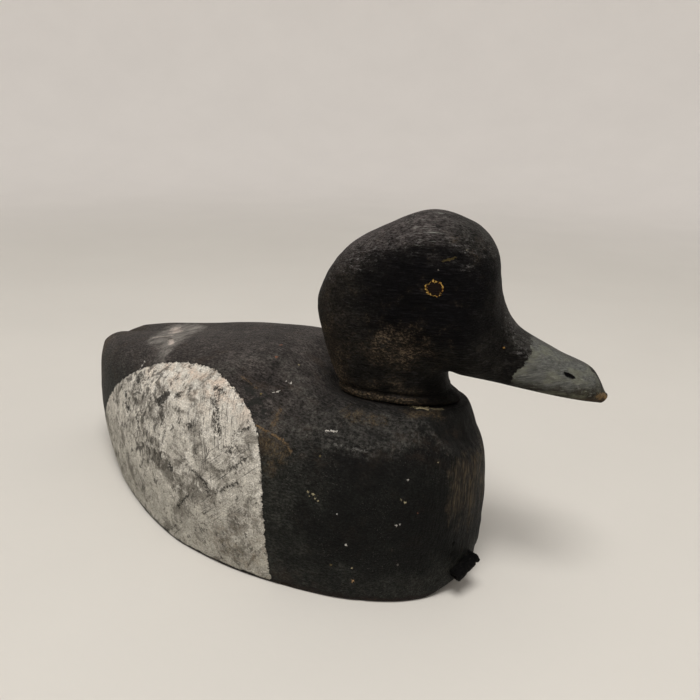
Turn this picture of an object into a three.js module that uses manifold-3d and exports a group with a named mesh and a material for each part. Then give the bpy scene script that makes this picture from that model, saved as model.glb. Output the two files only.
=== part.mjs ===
// Carved wooden duck decoy with a turned head, resting on its flat underside.
// The pieces are the body block, the head with its bill, and the folded strap tab for the anchor line.
// Millimetres. +X points to the breast, +Y to the duck's left and +Z up.
// The origin is the middle of the flat underside.
import * as THREE from 'three';
import * as BufferGeometryUtils from 'three/addons/utils/BufferGeometryUtils.js';
import Module from 'manifold-3d';

const wasm = await Module();
wasm.setup();

// Body block
const BODY_LENGTH = 305;
const BODY_HALF_WIDTH = 72.2;
const WIDEST_AT = 10.7;
const TAIL_END = -BODY_LENGTH / 2 - 0.7;
const BREAST_END = BODY_LENGTH / 2;
const RIDGE_START = -130;
const RIDGE_END = 131;
// Height of the ridge of the back along the body: rump, back, hollow behind the neck, neck seat, breast
const RIDGE_X = [RIDGE_START, -113, -72.5, -12.5, 37.5, 62.5, 77, 97.5, RIDGE_END];
const RIDGE_Z = [78.6, 83.7, 92.2, 105.3, 110.5, 101, 95.7, 95.2, 95];
// How square the plan outline is, and how square the ribs are, towards each end and at the flanks
const PLAN_SQUARENESS = { breast: 2.08, tail: 1.48 };
const RIB_SQUARENESS = { breast: 3.9, tail: 5.8, flank: 3.05 };
// The sides lean in towards the flat underside, by these amounts over the lowest stretch
const TUCK_IN = { breast: 3.7, tail: 6.8, flank: 0.35 };
const TUCK_HEIGHT = 40;
const BOTTOM_EDGE_RADIUS = 1.6;

// Flats that the carver's knife left on the body, each a plane given by a point on it and its slope
const KNIFE_FLATS = [
  { through: [108, -42, 80.5], facing: [0.2, -0.6, 0.78], blend: 2.5 },
  { through: [112, 42, 82.5], facing: [0.25, 0.6, 0.76], blend: 4 },
  { through: [138.4, 0, 84.5], facing: [0.62, 0.12, 0.78], blend: 6 },
  { through: [-152.5, 0, 40], facing: [-1, 0, 0], blend: 4 },
  { through: [-131.2, 0, 79.2], facing: [-0.6, 0, 0.8], blend: 1.2 },
];

// Neck seat, a level place cut into the body for the head
const SEAT_Z = 95;
const SEAT_MARGIN = 0.6;
const SEAT_FADE = 8;

// Head
const HEAD_TURN_DEG = 23.5;
const HEAD_X = 99.5;
const PIECE_GAP = 0.3;
// Stations from the neck's foot, over the crown, to the bill's tip, in the head's own side view.
// Each joins a point of the throat or bill's underside to a point of the nape, crown or bill's top.
const HEAD_STATIONS = [
  { under: [36, 0], over: [-27, 0], halfWidth: 16.5 },
  { under: [30, 6.5], over: [-36.5, 26], halfWidth: 20 },
  { under: [28, 12], over: [-40, 51], halfWidth: 23.5 },
  { under: [28.5, 16], over: [-27.5, 74], halfWidth: 26.2 },
  { under: [30.5, 17], over: [-6.8, 87.5], halfWidth: 28.5 },
  { under: [35, 16], over: [14.5, 95.5], halfWidth: 29 },
  { under: [41, 15.5], over: [34.9, 90.1], halfWidth: 27 },
  { under: [48, 14.5], over: [46.5, 78], halfWidth: 21 },
  { under: [56.5, 13.4], over: [51.5, 56], halfWidth: 15.3 },
  { under: [67.5, 12.5], over: [60, 42], halfWidth: 14.6 },
  { under: [84, 10.6], over: [79.5, 31.5], halfWidth: 13.4 },
  { under: [94.5, 9.1], over: [97, 24], halfWidth: 10.4 },
  { under: [101.8, 8], over: [105, 12], halfWidth: 4.5 },
];
// Along the stations from 0 to 1: where between under and over the head is widest, and how square it is
const WIDEST_SHARE = { at: [0, 0.35, 0.55, 0.7, 1], value: [0.5, 0.48, 0.42, 0.32, 0.35] };
const OVER_SQUARENESS = { at: [0, 0.3, 0.55, 0.8, 1], value: [2.3, 2.4, 2.5, 2.3, 2.2] };
const UNDER_SQUARENESS = { at: [0, 0.3, 0.55, 0.8, 1], value: [2.3, 2.3, 2.6, 3.4, 2.6] };
const BILL_TIP_ROUNDING = 1.6;

// Worn roll round the neck's foot, with a groove above it
const FOOT_CORE = { back: -12, front: 21 };
const ROLL_HEIGHT = 4.6;
const ROLL_BULGE = 0.7;
const ROLL_UNDERCUT = 1.3;
const GROOVE_DEPTH = 0.5;

// Folded strap tab low on the breast
const STRAP_WIDTH = 16;
const STRAP_THICKNESS = 2.5;
const STRAP_FOLD_GAP = 0.6;
const STRAP_REACH = 7;
const STRAP_ROOT = 8;
const STRAP_AT = [150.1, -6.9, 16.1];
const STRAP_TILT_DEG = 24;
const STRAP_TURN_DEG = -14;
const STRAP_DIP_DEG = 1;

// Facets: strips round the outline and up the ribs, rings along the head and points round them
const BODY_STRIPS = 98;
const BREAST_CROWDING = 0.3;
const BODY_RIB_STEPS = 24;
const RIDGE_CROWDING = 1.45;
const EDGE_STEPS = 2;
const UNDERSIDE_STEPS = 2;
const RIB_SAMPLES = 240;
const HEAD_RINGS = 38;
const HEAD_RING_POINTS = 34;
const FOOT_RINGS = [0, 0.0025, 0.006, 0.01, 0.014, 0.018, 0.024, 0.034, 0.05, 0.066];
const FOLD_SEGMENTS = 8;

const clamp = (value, low, high) => Math.min(high, Math.max(low, value));
const mix = (a, b, share) => a + (b - a) * share;
const signedPower = (value, power) => Math.sign(value) * Math.abs(value) ** power;

function smoothStep(value) {
  const share = clamp(value, 0, 1);
  return share * share * (3 - 2 * share);
}

// Smooth curve through the values given at rising places
function curveThrough(places, values, place) {
  const last = places.length - 1;
  const slope = (i) => {
    const before = Math.max(i - 1, 0);
    const after = Math.min(i + 1, last);
    return (values[after] - values[before]) / (places[after] - places[before]);
  };
  let i = 0;
  while (i < last - 1 && place > places[i + 1]) i += 1;
  const step = places[i + 1] - places[i];
  const t = (place - places[i]) / step;
  const startSlope = slope(i) * step;
  const endSlope = slope(i + 1) * step;
  return (
    (2 * t ** 3 - 3 * t ** 2 + 1) * values[i] +
    (t ** 3 - 2 * t ** 2 + t) * startSlope +
    (3 * t ** 2 - 2 * t ** 3) * values[i + 1] +
    (t ** 3 - t ** 2) * endSlope
  );
}

// Closed surface through rings of equal length, with each patch split along its shorter diagonal.
// An end is a fan unless its ring is folded onto a line.
function ringsToGeometry(rings, capped) {
  const positions = [];
  const triangle = (a, b, c) => positions.push(a.x, a.y, a.z, b.x, b.y, b.z, c.x, c.y, c.z);
  const count = rings[0].length;
  for (let r = 0; r < rings.length - 1; r += 1) {
    for (let i = 0; i < count; i += 1) {
      const next = (i + 1) % count;
      const [a, b] = [rings[r][i], rings[r][next]];
      const [c, d] = [rings[r + 1][next], rings[r + 1][i]];
      if (a.distanceTo(c) <= b.distanceTo(d)) {
        triangle(a, b, c);
        triangle(a, c, d);
      } else {
        triangle(a, b, d);
        triangle(b, c, d);
      }
    }
  }
  if (capped) {
    for (const [ring, turned] of [[rings[0], true], [rings[rings.length - 1], false]]) {
      const middle = new THREE.Vector3();
      ring.forEach((point) => middle.addScaledVector(point, 1 / count));
      for (let i = 0; i < count; i += 1) {
        const next = ring[(i + 1) % count];
        if (turned) triangle(ring[i], middle, next);
        else triangle(ring[i], next, middle);
      }
    }
  }
  const geometry = new THREE.BufferGeometry();
  geometry.setAttribute('position', new THREE.Float32BufferAttribute(positions, 3));
  return BufferGeometryUtils.mergeVertices(geometry, 1e-3);
}

function toSolid(geometry) {
  const bare = geometry.clone();
  bare.deleteAttribute('normal');
  bare.deleteAttribute('uv');
  const merged = BufferGeometryUtils.mergeVertices(bare, 1e-3);
  return new wasm.Manifold(new wasm.Mesh({
    numProp: 3,
    vertProperties: new Float32Array(merged.attributes.position.array),
    triVerts: new Uint32Array(merged.index.array),
  }));
}

function toGeometry(solid) {
  const mesh = solid.getMesh();
  const geometry = new THREE.BufferGeometry();
  geometry.setAttribute('position', new THREE.BufferAttribute(new Float32Array(mesh.vertProperties), 3));
  geometry.setIndex(new THREE.BufferAttribute(new Uint32Array(mesh.triVerts), 1));
  return geometry;
}

// Foot of the neck, as seen from above, in the body's frame
function distanceFromNeck(x, y) {
  const turn = THREE.MathUtils.degToRad(HEAD_TURN_DEG);
  const along = (x - HEAD_X) * Math.cos(turn) + y * Math.sin(turn);
  const across = -(x - HEAD_X) * Math.sin(turn) + y * Math.cos(turn);
  const nearest = clamp(along, FOOT_CORE.back, FOOT_CORE.front);
  return Math.hypot(along - nearest, across) - HEAD_STATIONS[0].halfWidth;
}

// One rib: from the underside's edge, up the side and over to the ridge of the back
function bodyRib(angle, grow) {
  const cos = Math.cos(angle);
  const sin = Math.sin(angle);
  const towardsBreast = cos >= 0;
  const squareness = towardsBreast ? PLAN_SQUARENESS.breast : PLAN_SQUARENESS.tail;
  const reach = towardsBreast ? BREAST_END - WIDEST_AT : WIDEST_AT - TAIL_END;
  const ridgeReach = towardsBreast ? RIDGE_END - WIDEST_AT : WIDEST_AT - RIDGE_START;
  const along = signedPower(cos, 2 / squareness);
  const edge = new THREE.Vector2(
    WIDEST_AT + reach * along,
    BODY_HALF_WIDTH * signedPower(sin, 2 / squareness),
  );
  const ridgeX = WIDEST_AT + ridgeReach * along;
  const ridgeZ = curveThrough(RIDGE_X, RIDGE_Z, ridgeX);
  const endWeight = cos ** 2;
  const end = towardsBreast ? 'breast' : 'tail';
  const ribPower = 2 / mix(RIB_SQUARENESS.flank, RIB_SQUARENESS[end], endWeight);
  const tuck = mix(TUCK_IN.flank, TUCK_IN[end], endWeight);
  const span = Math.hypot(edge.x - ridgeX, edge.y);
  const points = [];
  for (let i = 0; i <= RIB_SAMPLES; i += 1) {
    const climb = (Math.PI / 2) * (i / RIB_SAMPLES) ** 3;
    const z = ridgeZ * Math.sin(climb) ** ribPower;
    const lean = tuck * clamp(1 - z / TUCK_HEIGHT, 0, 1) ** 2;
    const below = clamp(BOTTOM_EDGE_RADIUS - z, 0, BOTTOM_EDGE_RADIUS);
    const rounding = BOTTOM_EDGE_RADIUS - Math.sqrt(BOTTOM_EDGE_RADIUS ** 2 - below ** 2);
    const share = Math.max(Math.cos(climb), 0) ** ribPower * (1 - (lean + rounding - grow) / span);
    points.push(new THREE.Vector3(ridgeX + (edge.x - ridgeX) * share, edge.y * share, z));
  }
  return points;
}

// Points spread along a rib, closer together round its bottom edge and towards the ridge
function spreadAlong(points) {
  const travelled = [0];
  for (let i = 1; i < points.length; i += 1) {
    travelled.push(travelled[i - 1] + points[i].distanceTo(points[i - 1]));
  }
  const length = travelled[travelled.length - 1];
  const edgeLength = BOTTOM_EDGE_RADIUS * (Math.PI / 2);
  const wanted = [];
  for (let i = 0; i < EDGE_STEPS; i += 1) wanted.push((edgeLength * i) / EDGE_STEPS);
  for (let i = 0; i <= BODY_RIB_STEPS; i += 1) {
    const share = 1 - (1 - i / BODY_RIB_STEPS) ** RIDGE_CROWDING;
    wanted.push(mix(edgeLength, length, share));
  }
  return wanted.map((distance) => {
    let i = 0;
    while (i < travelled.length - 2 && travelled[i + 1] < distance) i += 1;
    const share = (distance - travelled[i]) / (travelled[i + 1] - travelled[i]);
    return points[i].clone().lerp(points[i + 1], clamp(share, 0, 1));
  });
}

// Shave a point back to a knife flat, with a soft edge
function shave(point, flat) {
  const facing = new THREE.Vector3(...flat.facing).normalize();
  const height = point.clone().sub(new THREE.Vector3(...flat.through)).dot(facing);
  if (height <= -flat.blend) return;
  const cut = height >= flat.blend ? height : (height + flat.blend) ** 2 / (4 * flat.blend);
  point.addScaledVector(facing, -cut);
}

function levelSeat(point) {
  if (point.z < SEAT_Z / 2) return;
  const share = 1 - smoothStep((distanceFromNeck(point.x, point.y) - SEAT_MARGIN) / SEAT_FADE);
  point.z = mix(point.z, SEAT_Z, share);
}

function bodyGeometry(grow = 0) {
  const ribs = [];
  for (let i = 0; i < BODY_STRIPS; i += 1) {
    const turn = (2 * Math.PI * i) / BODY_STRIPS;
    const rib = spreadAlong(bodyRib(turn - BREAST_CROWDING * Math.sin(turn), grow));
    for (const point of rib) {
      KNIFE_FLATS.forEach((flat) => shave(point, flat));
      levelSeat(point);
    }
    ribs.push(rib);
  }
  const rings = [];
  for (let step = 0; step < UNDERSIDE_STEPS; step += 1) {
    const share = step / UNDERSIDE_STEPS;
    rings.push(ribs.map((rib) => {
      const ridge = rib[rib.length - 1];
      return new THREE.Vector3(mix(ridge.x, rib[0].x, share), rib[0].y * share, 0);
    }));
  }
  for (let row = 0; row < ribs[0].length; row += 1) rings.push(ribs.map((rib) => rib[row]));
  return ringsToGeometry(rings, false);
}

// Bulge of the worn roll and its groove, outwards from the neck, at a height over the seat
function rollOffset(z) {
  if (z >= 1.6 * ROLL_HEIGHT) return 0;
  const undercut = ROLL_UNDERCUT * clamp(1 - z / (0.35 * ROLL_HEIGHT), 0, 1) ** 2;
  if (z < ROLL_HEIGHT) return ROLL_BULGE * Math.sin((Math.PI * z) / ROLL_HEIGHT) - undercut;
  return -GROOVE_DEPTH * Math.sin((Math.PI * (z - ROLL_HEIGHT)) / (0.6 * ROLL_HEIGHT));
}

function headRing(along) {
  const places = HEAD_STATIONS.map((station, i) => i / (HEAD_STATIONS.length - 1));
  const at = (pick) => curveThrough(places, HEAD_STATIONS.map(pick), along);
  const under = new THREE.Vector2(at((s) => s.under[0]), at((s) => s.under[1]));
  const over = new THREE.Vector2(at((s) => s.over[0]), at((s) => s.over[1]));
  const halfWidth = at((s) => s.halfWidth);
  const widest = curveThrough(WIDEST_SHARE.at, WIDEST_SHARE.value, along);
  const overPower = 2 / curveThrough(OVER_SQUARENESS.at, OVER_SQUARENESS.value, along);
  const underPower = 2 / curveThrough(UNDER_SQUARENESS.at, UNDER_SQUARENESS.value, along);
  const ring = [];
  for (let i = 0; i < HEAD_RING_POINTS; i += 1) {
    const angle = (-2 * Math.PI * i) / HEAD_RING_POINTS;
    const cos = Math.cos(angle);
    const power = cos >= 0 ? overPower : underPower;
    const share = widest + signedPower(cos, power) * (cos >= 0 ? 1 - widest : widest);
    const point = new THREE.Vector3(
      mix(under.x, over.x, share),
      halfWidth * signedPower(Math.sin(angle), power),
      mix(under.y, over.y, share),
    );
    const core = clamp(point.x, FOOT_CORE.back, FOOT_CORE.front);
    const outwards = new THREE.Vector3(point.x - core, point.y, 0).normalize();
    point.addScaledVector(outwards, rollOffset(point.z));
    ring.push(point);
  }
  return ring;
}

function headGeometry() {
  const rings = FOOT_RINGS.map(headRing);
  const start = FOOT_RINGS[FOOT_RINGS.length - 1];
  for (let i = 1; i <= HEAD_RINGS; i += 1) rings.push(headRing(mix(start, 1, i / HEAD_RINGS)));
  const tip = rings[rings.length - 1];
  const middle = tip.reduce((sum, point) => sum.addScaledVector(point, 1 / tip.length), new THREE.Vector3());
  rings.push(tip.map((point) => {
    const rounded = point.clone().lerp(middle, 0.4);
    rounded.x += BILL_TIP_ROUNDING;
    return rounded;
  }));
  return ringsToGeometry(rings, true);
}

// Side view of the doubled strap: two leaves joined by a round fold at the outer end
function strapOutline() {
  const outer = STRAP_THICKNESS + STRAP_FOLD_GAP / 2;
  const inner = STRAP_FOLD_GAP / 2;
  const foldCentre = STRAP_REACH - outer;
  const shape = new THREE.Shape();
  shape.moveTo(-STRAP_ROOT, -outer);
  shape.lineTo(foldCentre, -outer);
  shape.absarc(foldCentre, 0, outer, -Math.PI / 2, Math.PI / 2, false);
  shape.lineTo(-STRAP_ROOT, outer);
  shape.lineTo(-STRAP_ROOT, inner);
  shape.lineTo(foldCentre, inner);
  shape.absarc(foldCentre, 0, inner, Math.PI / 2, -Math.PI / 2, true);
  shape.lineTo(-STRAP_ROOT, -inner);
  shape.closePath();
  return shape;
}

function strapPlacement() {
  const turn = new THREE.Matrix4().makeRotationZ(THREE.MathUtils.degToRad(STRAP_TURN_DEG));
  const dip = new THREE.Matrix4().makeRotationY(THREE.MathUtils.degToRad(STRAP_DIP_DEG));
  const tilt = new THREE.Matrix4().makeRotationX(THREE.MathUtils.degToRad(STRAP_TILT_DEG));
  return new THREE.Matrix4().makeTranslation(...STRAP_AT).multiply(turn).multiply(dip).multiply(tilt);
}

// The strap's root is cut to the breast that it is nailed against
function strapGeometry() {
  const strap = new THREE.ExtrudeGeometry(strapOutline(), {
    depth: STRAP_WIDTH,
    bevelEnabled: false,
    curveSegments: FOLD_SEGMENTS,
  });
  strap.translate(0, 0, -STRAP_WIDTH / 2);
  strap.rotateX(Math.PI / 2);
  strap.applyMatrix4(strapPlacement());
  const rest = toSolid(strap).subtract(toSolid(bodyGeometry(PIECE_GAP)));
  return toGeometry(rest);
}

const blackPaint = new THREE.MeshStandardMaterial({ color: 0x2b292b, roughness: 0.75, metalness: 0 });
const headPaint = new THREE.MeshStandardMaterial({ color: 0x262426, roughness: 0.72, metalness: 0 });
const strapLeather = new THREE.MeshStandardMaterial({ color: 0x161516, roughness: 0.8, metalness: 0 });

const body = new THREE.Mesh(bodyGeometry(), blackPaint);
body.name = 'body';

const head = new THREE.Mesh(headGeometry(), headPaint);
head.name = 'head';
head.position.set(HEAD_X, 0, SEAT_Z + PIECE_GAP);
head.rotation.z = THREE.MathUtils.degToRad(HEAD_TURN_DEG);

const strapTab = new THREE.Mesh(strapGeometry(), strapLeather);
strapTab.name = 'line_strap';

const group = new THREE.Group();
group.add(body, head, strapTab);

export default group;
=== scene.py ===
import math

import bmesh
import bpy
import numpy as np
from mathutils import Matrix, Vector
from mathutils.bvhtree import BVHTree


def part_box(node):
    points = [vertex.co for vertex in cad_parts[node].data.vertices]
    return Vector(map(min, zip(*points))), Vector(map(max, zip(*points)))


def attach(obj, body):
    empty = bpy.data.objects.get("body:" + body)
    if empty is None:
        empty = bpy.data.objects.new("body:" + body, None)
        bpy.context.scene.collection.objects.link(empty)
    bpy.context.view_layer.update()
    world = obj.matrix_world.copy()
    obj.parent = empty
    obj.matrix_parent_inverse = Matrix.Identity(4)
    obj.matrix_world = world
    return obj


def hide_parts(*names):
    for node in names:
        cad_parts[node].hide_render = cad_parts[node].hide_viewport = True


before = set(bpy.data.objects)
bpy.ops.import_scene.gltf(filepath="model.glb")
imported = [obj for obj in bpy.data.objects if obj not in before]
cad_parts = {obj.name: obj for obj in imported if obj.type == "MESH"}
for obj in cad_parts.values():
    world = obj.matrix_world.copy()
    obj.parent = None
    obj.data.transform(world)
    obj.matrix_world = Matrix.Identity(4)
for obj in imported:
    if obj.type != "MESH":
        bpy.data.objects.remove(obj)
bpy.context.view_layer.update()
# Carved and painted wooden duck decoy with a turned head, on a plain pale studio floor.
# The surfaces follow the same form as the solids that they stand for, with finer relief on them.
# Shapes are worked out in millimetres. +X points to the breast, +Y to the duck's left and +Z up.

MM = 0.001

# Body block
BODY_LENGTH = 305
BODY_HALF_WIDTH = 72.2
WIDEST_AT = 10.7
# The knife flat over the tail's end takes this much off again
TAIL_ALLOWANCE = 0.7
TAIL_END = -BODY_LENGTH / 2 - TAIL_ALLOWANCE
BREAST_END = BODY_LENGTH / 2
RIDGE_START = -130
RIDGE_END = 131
# Height of the ridge of the back along the body: rump, back, hollow behind the neck, neck seat, breast
RIDGE_X = [RIDGE_START, -113, -72.5, -12.5, 37.5, 62.5, 77, 97.5, RIDGE_END]
RIDGE_Z = [78.6, 83.7, 92.2, 105.3, 110.5, 101, 95.7, 95.2, 95]
PLAN_SQUARENESS = {"breast": 2.08, "tail": 1.48}
RIB_SQUARENESS = {"breast": 3.9, "tail": 5.8, "flank": 3.05}
TUCK_IN = {"breast": 3.7, "tail": 6.8, "flank": 0.35}
TUCK_HEIGHT = 40
BOTTOM_EDGE_RADIUS = 1.6
KNIFE_FLATS = [
    {"through": (108, -42, 80.5), "facing": (0.2, -0.6, 0.78), "blend": 1.2},
    {"through": (112, 42, 82.5), "facing": (0.25, 0.6, 0.76), "blend": 2.5},
    {"through": (138.4, 0, 84.5), "facing": (0.62, 0.12, 0.78), "blend": 5},
    {"through": (-152.5, 0, 40), "facing": (-1, 0, 0), "blend": 3},
    {"through": (-131.2, 0, 79.2), "facing": (-0.6, 0, 0.8), "blend": 1.2},
    {"through": (147.6, -12, 5.5), "facing": (0.68, 0, -0.73), "blend": 1.6},
]
# A pair such as "along", "foot" or "top" is the place where something begins to show and the place from
# which it shows in full

# Flatter strip down the middle of the breast, between two soft arrises
FRONT_STRIP = {"half_width": 18.5, "depth": 1.5, "along": (110, 130), "foot": (20, 34), "top": (92, 80)}

# Hand-carved unevenness: height, size of the humps and how far they are drawn out
BODY_RELIEF = [
    {"height": 0.22, "size": 34, "seed": 1},
    {"height": 0.13, "size": 11, "seed": 2, "stretch": (4, 1, 1)},
    {"height": 0.06, "size": 3.2, "seed": 3, "stretch": (12, 1, 1), "waves": 48},
]
BREAST_RIDGES = {"height": 0.12, "size": 2.2, "seed": 4, "stretch": (1, 1, 7), "waves": 40}
RIDGES_SHOW = {"along": (132, 140), "off_middle": (20, 16), "foot": (18, 30)}
EDGE_CHIPS = {"height": 1, "size": 5, "seed": 5, "waves": 40}
EDGE_CHIP_DEPTH = 0.9
EDGE_CHIPS_SHOW = (5, 1)
# The relief dies out towards the underside, by height, and towards the neck's foot, by distance from it
UNDERSIDE_FADE = (0.05, 0.85)
NECK_FADE = (0.5, 5.5)
# Hollows low on the breast, each a place, a radius and a depth: the nail hole, small dents, a worn corner
NAIL_HOLE_AT = (149.5, -14.8, 31.3)
BREAST_DENTS = [
    (NAIL_HOLE_AT, 1.2, 2.0),
    ((149, -15.7, 25), 2.6, 0.7),
    ((148.6, -13.6, 22), 2.2, 0.5),
    ((146, -22, 12), 3.0, 0.5),
    ((150, 13, 9), 11.5, 3.4),
]
# Where the paint is worn to brown: how much on the strip and its arrises, the bottom edge and the tail
BARE_SHARES = {"arris": 0.65, "strip": 0.85, "bottom_edge": 0.8, "tail": 0.45}
BARE_FRONT = {"along": (128, 140), "foot": (14, 64), "top": (84, 68), "over_arris": 2, "inside_arris": 3}
ARRIS_SPREAD = 2.5
BARE_EDGE = (4.5, 0.5)
BARE_TAIL = (-140, -148)
LEVEL_UNDERSIDE = 0.02

# Neck seat, and the foot of the neck as seen from above
SEAT_Z = 95
SEAT_MARGIN = 0.6
SEAT_FADE = 8
HEAD_TURN = math.radians(23.5)
HEAD_X = 99.5
PIECE_GAP = 0.3
FOOT_CORE = {"back": -12, "front": 21}

# Head stations from the neck's foot, over the crown, to the bill's tip, in the head's own side view:
# a point of the throat or bill's underside, one of the nape, crown or bill's top, and the half width
HEAD_STATIONS = [
    ((36, 0), (-27, 0), 16.5),
    ((30, 6.5), (-36.5, 26), 20),
    ((28, 12), (-40, 51), 23.5),
    ((28.5, 16), (-27.5, 74), 26.2),
    ((30.5, 17), (-6.8, 87.5), 28.5),
    ((35, 16), (14.5, 95.5), 29),
    ((41, 15.5), (34.9, 90.1), 27),
    ((48, 14.5), (46.5, 78), 21),
    ((56.5, 13.4), (51.5, 56), 15.3),
    ((67.5, 12.5), (60, 42), 14.6),
    ((84, 10.6), (79.5, 31.5), 13.4),
    ((94.5, 9.1), (97, 24), 10.4),
    ((101.8, 8), (105, 12), 4.5),
]
WIDEST_SHARE = ((0, 0.35, 0.55, 0.7, 1), (0.5, 0.48, 0.42, 0.32, 0.35))
OVER_SQUARENESS = ((0, 0.3, 0.55, 0.8, 1), (2.3, 2.4, 2.5, 2.3, 2.2))
UNDER_SQUARENESS = ((0, 0.3, 0.55, 0.8, 1), (2.3, 2.3, 2.6, 3.4, 2.6))
BILL_TIP_ROUNDING = 1.6
BILL_TIP_FULLNESS = 0.8
# The undercut and the groove are as high as these shares of the roll
ROLL = {
    "height": 4.6,
    "bulge": 0.7,
    "undercut": 1.3,
    "undercut_share": 0.35,
    "groove": 0.6,
    "groove_share": 0.6,
}
# Head relief, with the share of it that the bill does without
HEAD_RELIEF = [
    ({"height": 0.2, "size": 26, "seed": 11}, 0.6),
    ({"height": 0.1, "size": 8, "seed": 12, "stretch": (3, 1, 1)}, 0.5),
    ({"height": 0.07, "size": 2.0, "seed": 13, "stretch": (14, 2, 1), "waves": 60}, 0.6),
]
ROLL_RELIEF = {"height": 0.18, "size": 4.5, "seed": 14}
ROLL_RELIEF_SHOWS = (9, 4)
BILL_BEGINS = (56, 68)
HEAD_FOOT_FADE = (0, 0.8)
NOSTRILS_FROM = 70
NOSTRIL = {"at": (85.7, 23.2), "half_length": 2.9, "half_height": 1.1, "slope": -0.37, "depth": 1.0}
# Brown wear on the head: how strong, where it lies and, in pairs, where it begins and is full
CHEEK_WEAR = {"strength": 0.62, "at": (5, 33), "spread": (17, 13)}
NECK_WEAR = {"strength": 0.42, "height": (20, 4)}
NAPE_WEAR = {"strength": 0.45, "along": (-16, -28), "height": (56, 26)}
ROLL_WEAR = {"strength": 0.5, "height": (5.2, 3.7)}

# Folded strap tab low on the breast
STRAP = {"width": 16, "thickness": 2.5, "fold_gap": 0.6, "reach": 7, "longest_root": 8, "corner": 0.7}
STRAP_AT = (150.1, -6.9, 16.1)
STRAP_TILT, STRAP_TURN, STRAP_DIP = (math.radians(a) for a in (24, -14, 1))
# Creases across the strap: place across its width, width and depth
STRAP_CREASES = [(-1.4, 0.8, 0.3), (5.6, 0.6, 0.8)]
# Uneven skin of the strap, by as much along each of its own axes
STRAP_RELIEF = [
    {"height": 0.12, "size": 2.4, "seed": 21},
    {"height": 0.078, "size": 0.9, "seed": 22, "waves": 40},
]

# Outline of the right flank's off-white patch: place along the body, and distance round it from its edge
PATCH_OUTLINE = [
    (-132, -6), (-116, 27), (-95, 50), (-74, 69.5), (-54, 84), (-32, 97), (-8, 105), (14, 107),
    (37, 98.5), (52, 87.5), (61, 73), (66, 52), (69.5, 22), (71.5, 0), (68, -9), (-30, -16),
]
LEFT_PATCH_SHIFT = (3, -4)
# The bill's paint begins where the black feathering ends: place forward at heights over the neck seat
FEATHER_HEIGHTS = (8, 15, 21, 26, 30, 34, 38)
FEATHER_EDGE = (57.5, 58.6, 60.0, 63.3, 66.0, 67.2, 66.8)
# The edge runs aslant, so that a step forward takes this share of it away from the edge
FEATHER_SLANT = 0.9
EYE_AT = (21.1, 64.1)
EYE_RADIUS = 3.6

# Marks in the paint, each a half width and the points that it runs through
DARK_MARKS = [
    (2.6, [(-17, -60, 76), (-12.7, -58.5, 81)]),
    (2.2, [(-47.3, -52.3, 79.6), (-46, -53, 78)]),
    (1.8, [(-60, -53.4, 67.5), (-59, -54, 66)]),
    (1.6, [(-56, -56.2, 60.2), (-52, -57, 60.8)]),
    (1.5, [(-4.5, -58.7, 82.8), (-2, -58.4, 83.5)]),
    (1.1, [(12, -64.9, 71), (13.5, -64.7, 73)]),
    (1.5, [(22, -53.4, 93.5), (25.9, -54.2, 92.6), (29, -54.1, 92.7)]),
    (1.2, [(44, -64.8, 67.4), (45, -64.6, 69.2)]),
    (0.7, [(22, -57, 89), (28, -60.5, 83), (32, -64, 74)]),
    (0.9, [(24, -56.8, 89), (30, -60, 83.4), (35, -63.9, 74)]),
    (0.8, [(18.6, -69.8, 50.7), (30.4, -70, 46), (32.8, -70.4, 40.5)]),
    (0.7, [(45.8, -67, 58), (53.6, -63.7, 66.2)]),
    (0.7, [(37.7, -69.8, 43.3), (50.3, -67.3, 52.2)]),
    (0.8, [(8.8, -71.7, 24.3), (16.8, -71.4, 34.2)]),
    (0.4, [(43.8, -62.3, 76), (51.6, -58.5, 80.5)]),
    (1.8, [(0, -69.9, 45.6), (1.5, -69.8, 44.4)]),
]
SMUDGES = [
    (7.5, [(-14, -68, 47), (-6, -69, 45)]),
    (6, [(-30, -62, 72), (-14, -61, 75)]),
    (5, [(2, -70, 40), (14, -70, 34), (26, -70, 36)]),
    (4.5, [(15, -65.5, 68), (21, -67, 61)]),
    (3.5, [(8, -69.5, 50), (18, -69.9, 49), (30, -70.4, 44.8), (37, -70.3, 41.7)]),
    (6, [(42, -69.5, 18), (52, -69, 30)]),
    (7, [(-62, 56, 30), (-48, 60, 38), (-30, 65, 42)]),
    (5, [(22, 66, 56), (36, 62, 68)]),
    (4, [(4, 70, 30), (16, 71, 24)]),
]
BROWN_STAINS = [
    (4.2, [(61, -58, 77), (72, -56.5, 73)]),
    (3, [(65, -59.5, 72), (68, -60.6, 65)]),
    (1.6, [(62, -47, 89), (63.5, -53, 83)]),
    (2.4, [(94, -31, 91.2), (109, -27, 91.2)]),
    (2.2, [(121, -15, 94.4), (130, -8, 94.3)]),
]
# Bundles of scratches on the right patch, and the middle of the blots on either one
STEEP_SCRATCHES_AT = (27, -62, 74)
SLANT_SCRATCHES_AT = (38, -68, 54)
BLOTS_AT = (-36, 61, 66)
# Strokes with two ends and a half width: the gash in the rump's smear and, in the head's own frame, the
# bill's nail, the left one of its two tan corners, the shadow behind its nostril and a stroke over the eye
RUMP_GASH = ((-62, -21, 95.6), (-49, -24.5, 97.8), 1.8)
BILL_NAIL = ((98, 0, 22.8), (101.6, 0, 18), 4.8)
BILL_CORNER = ((100, 6.6, 12.6), (104.4, 3.4, 12.4), 1.9)
NOSTRIL_TAIL = ((78, -11.6, 25.2), (84, -11.2, 24), 1.1)
OVER_EYE = ((24, -25.7, 76.3), (28.6, -24.3, 78), 0.7)
FACE_AT = (20, 60)
CROWN_STREAKS_AT = (12, -13, 93)
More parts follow.
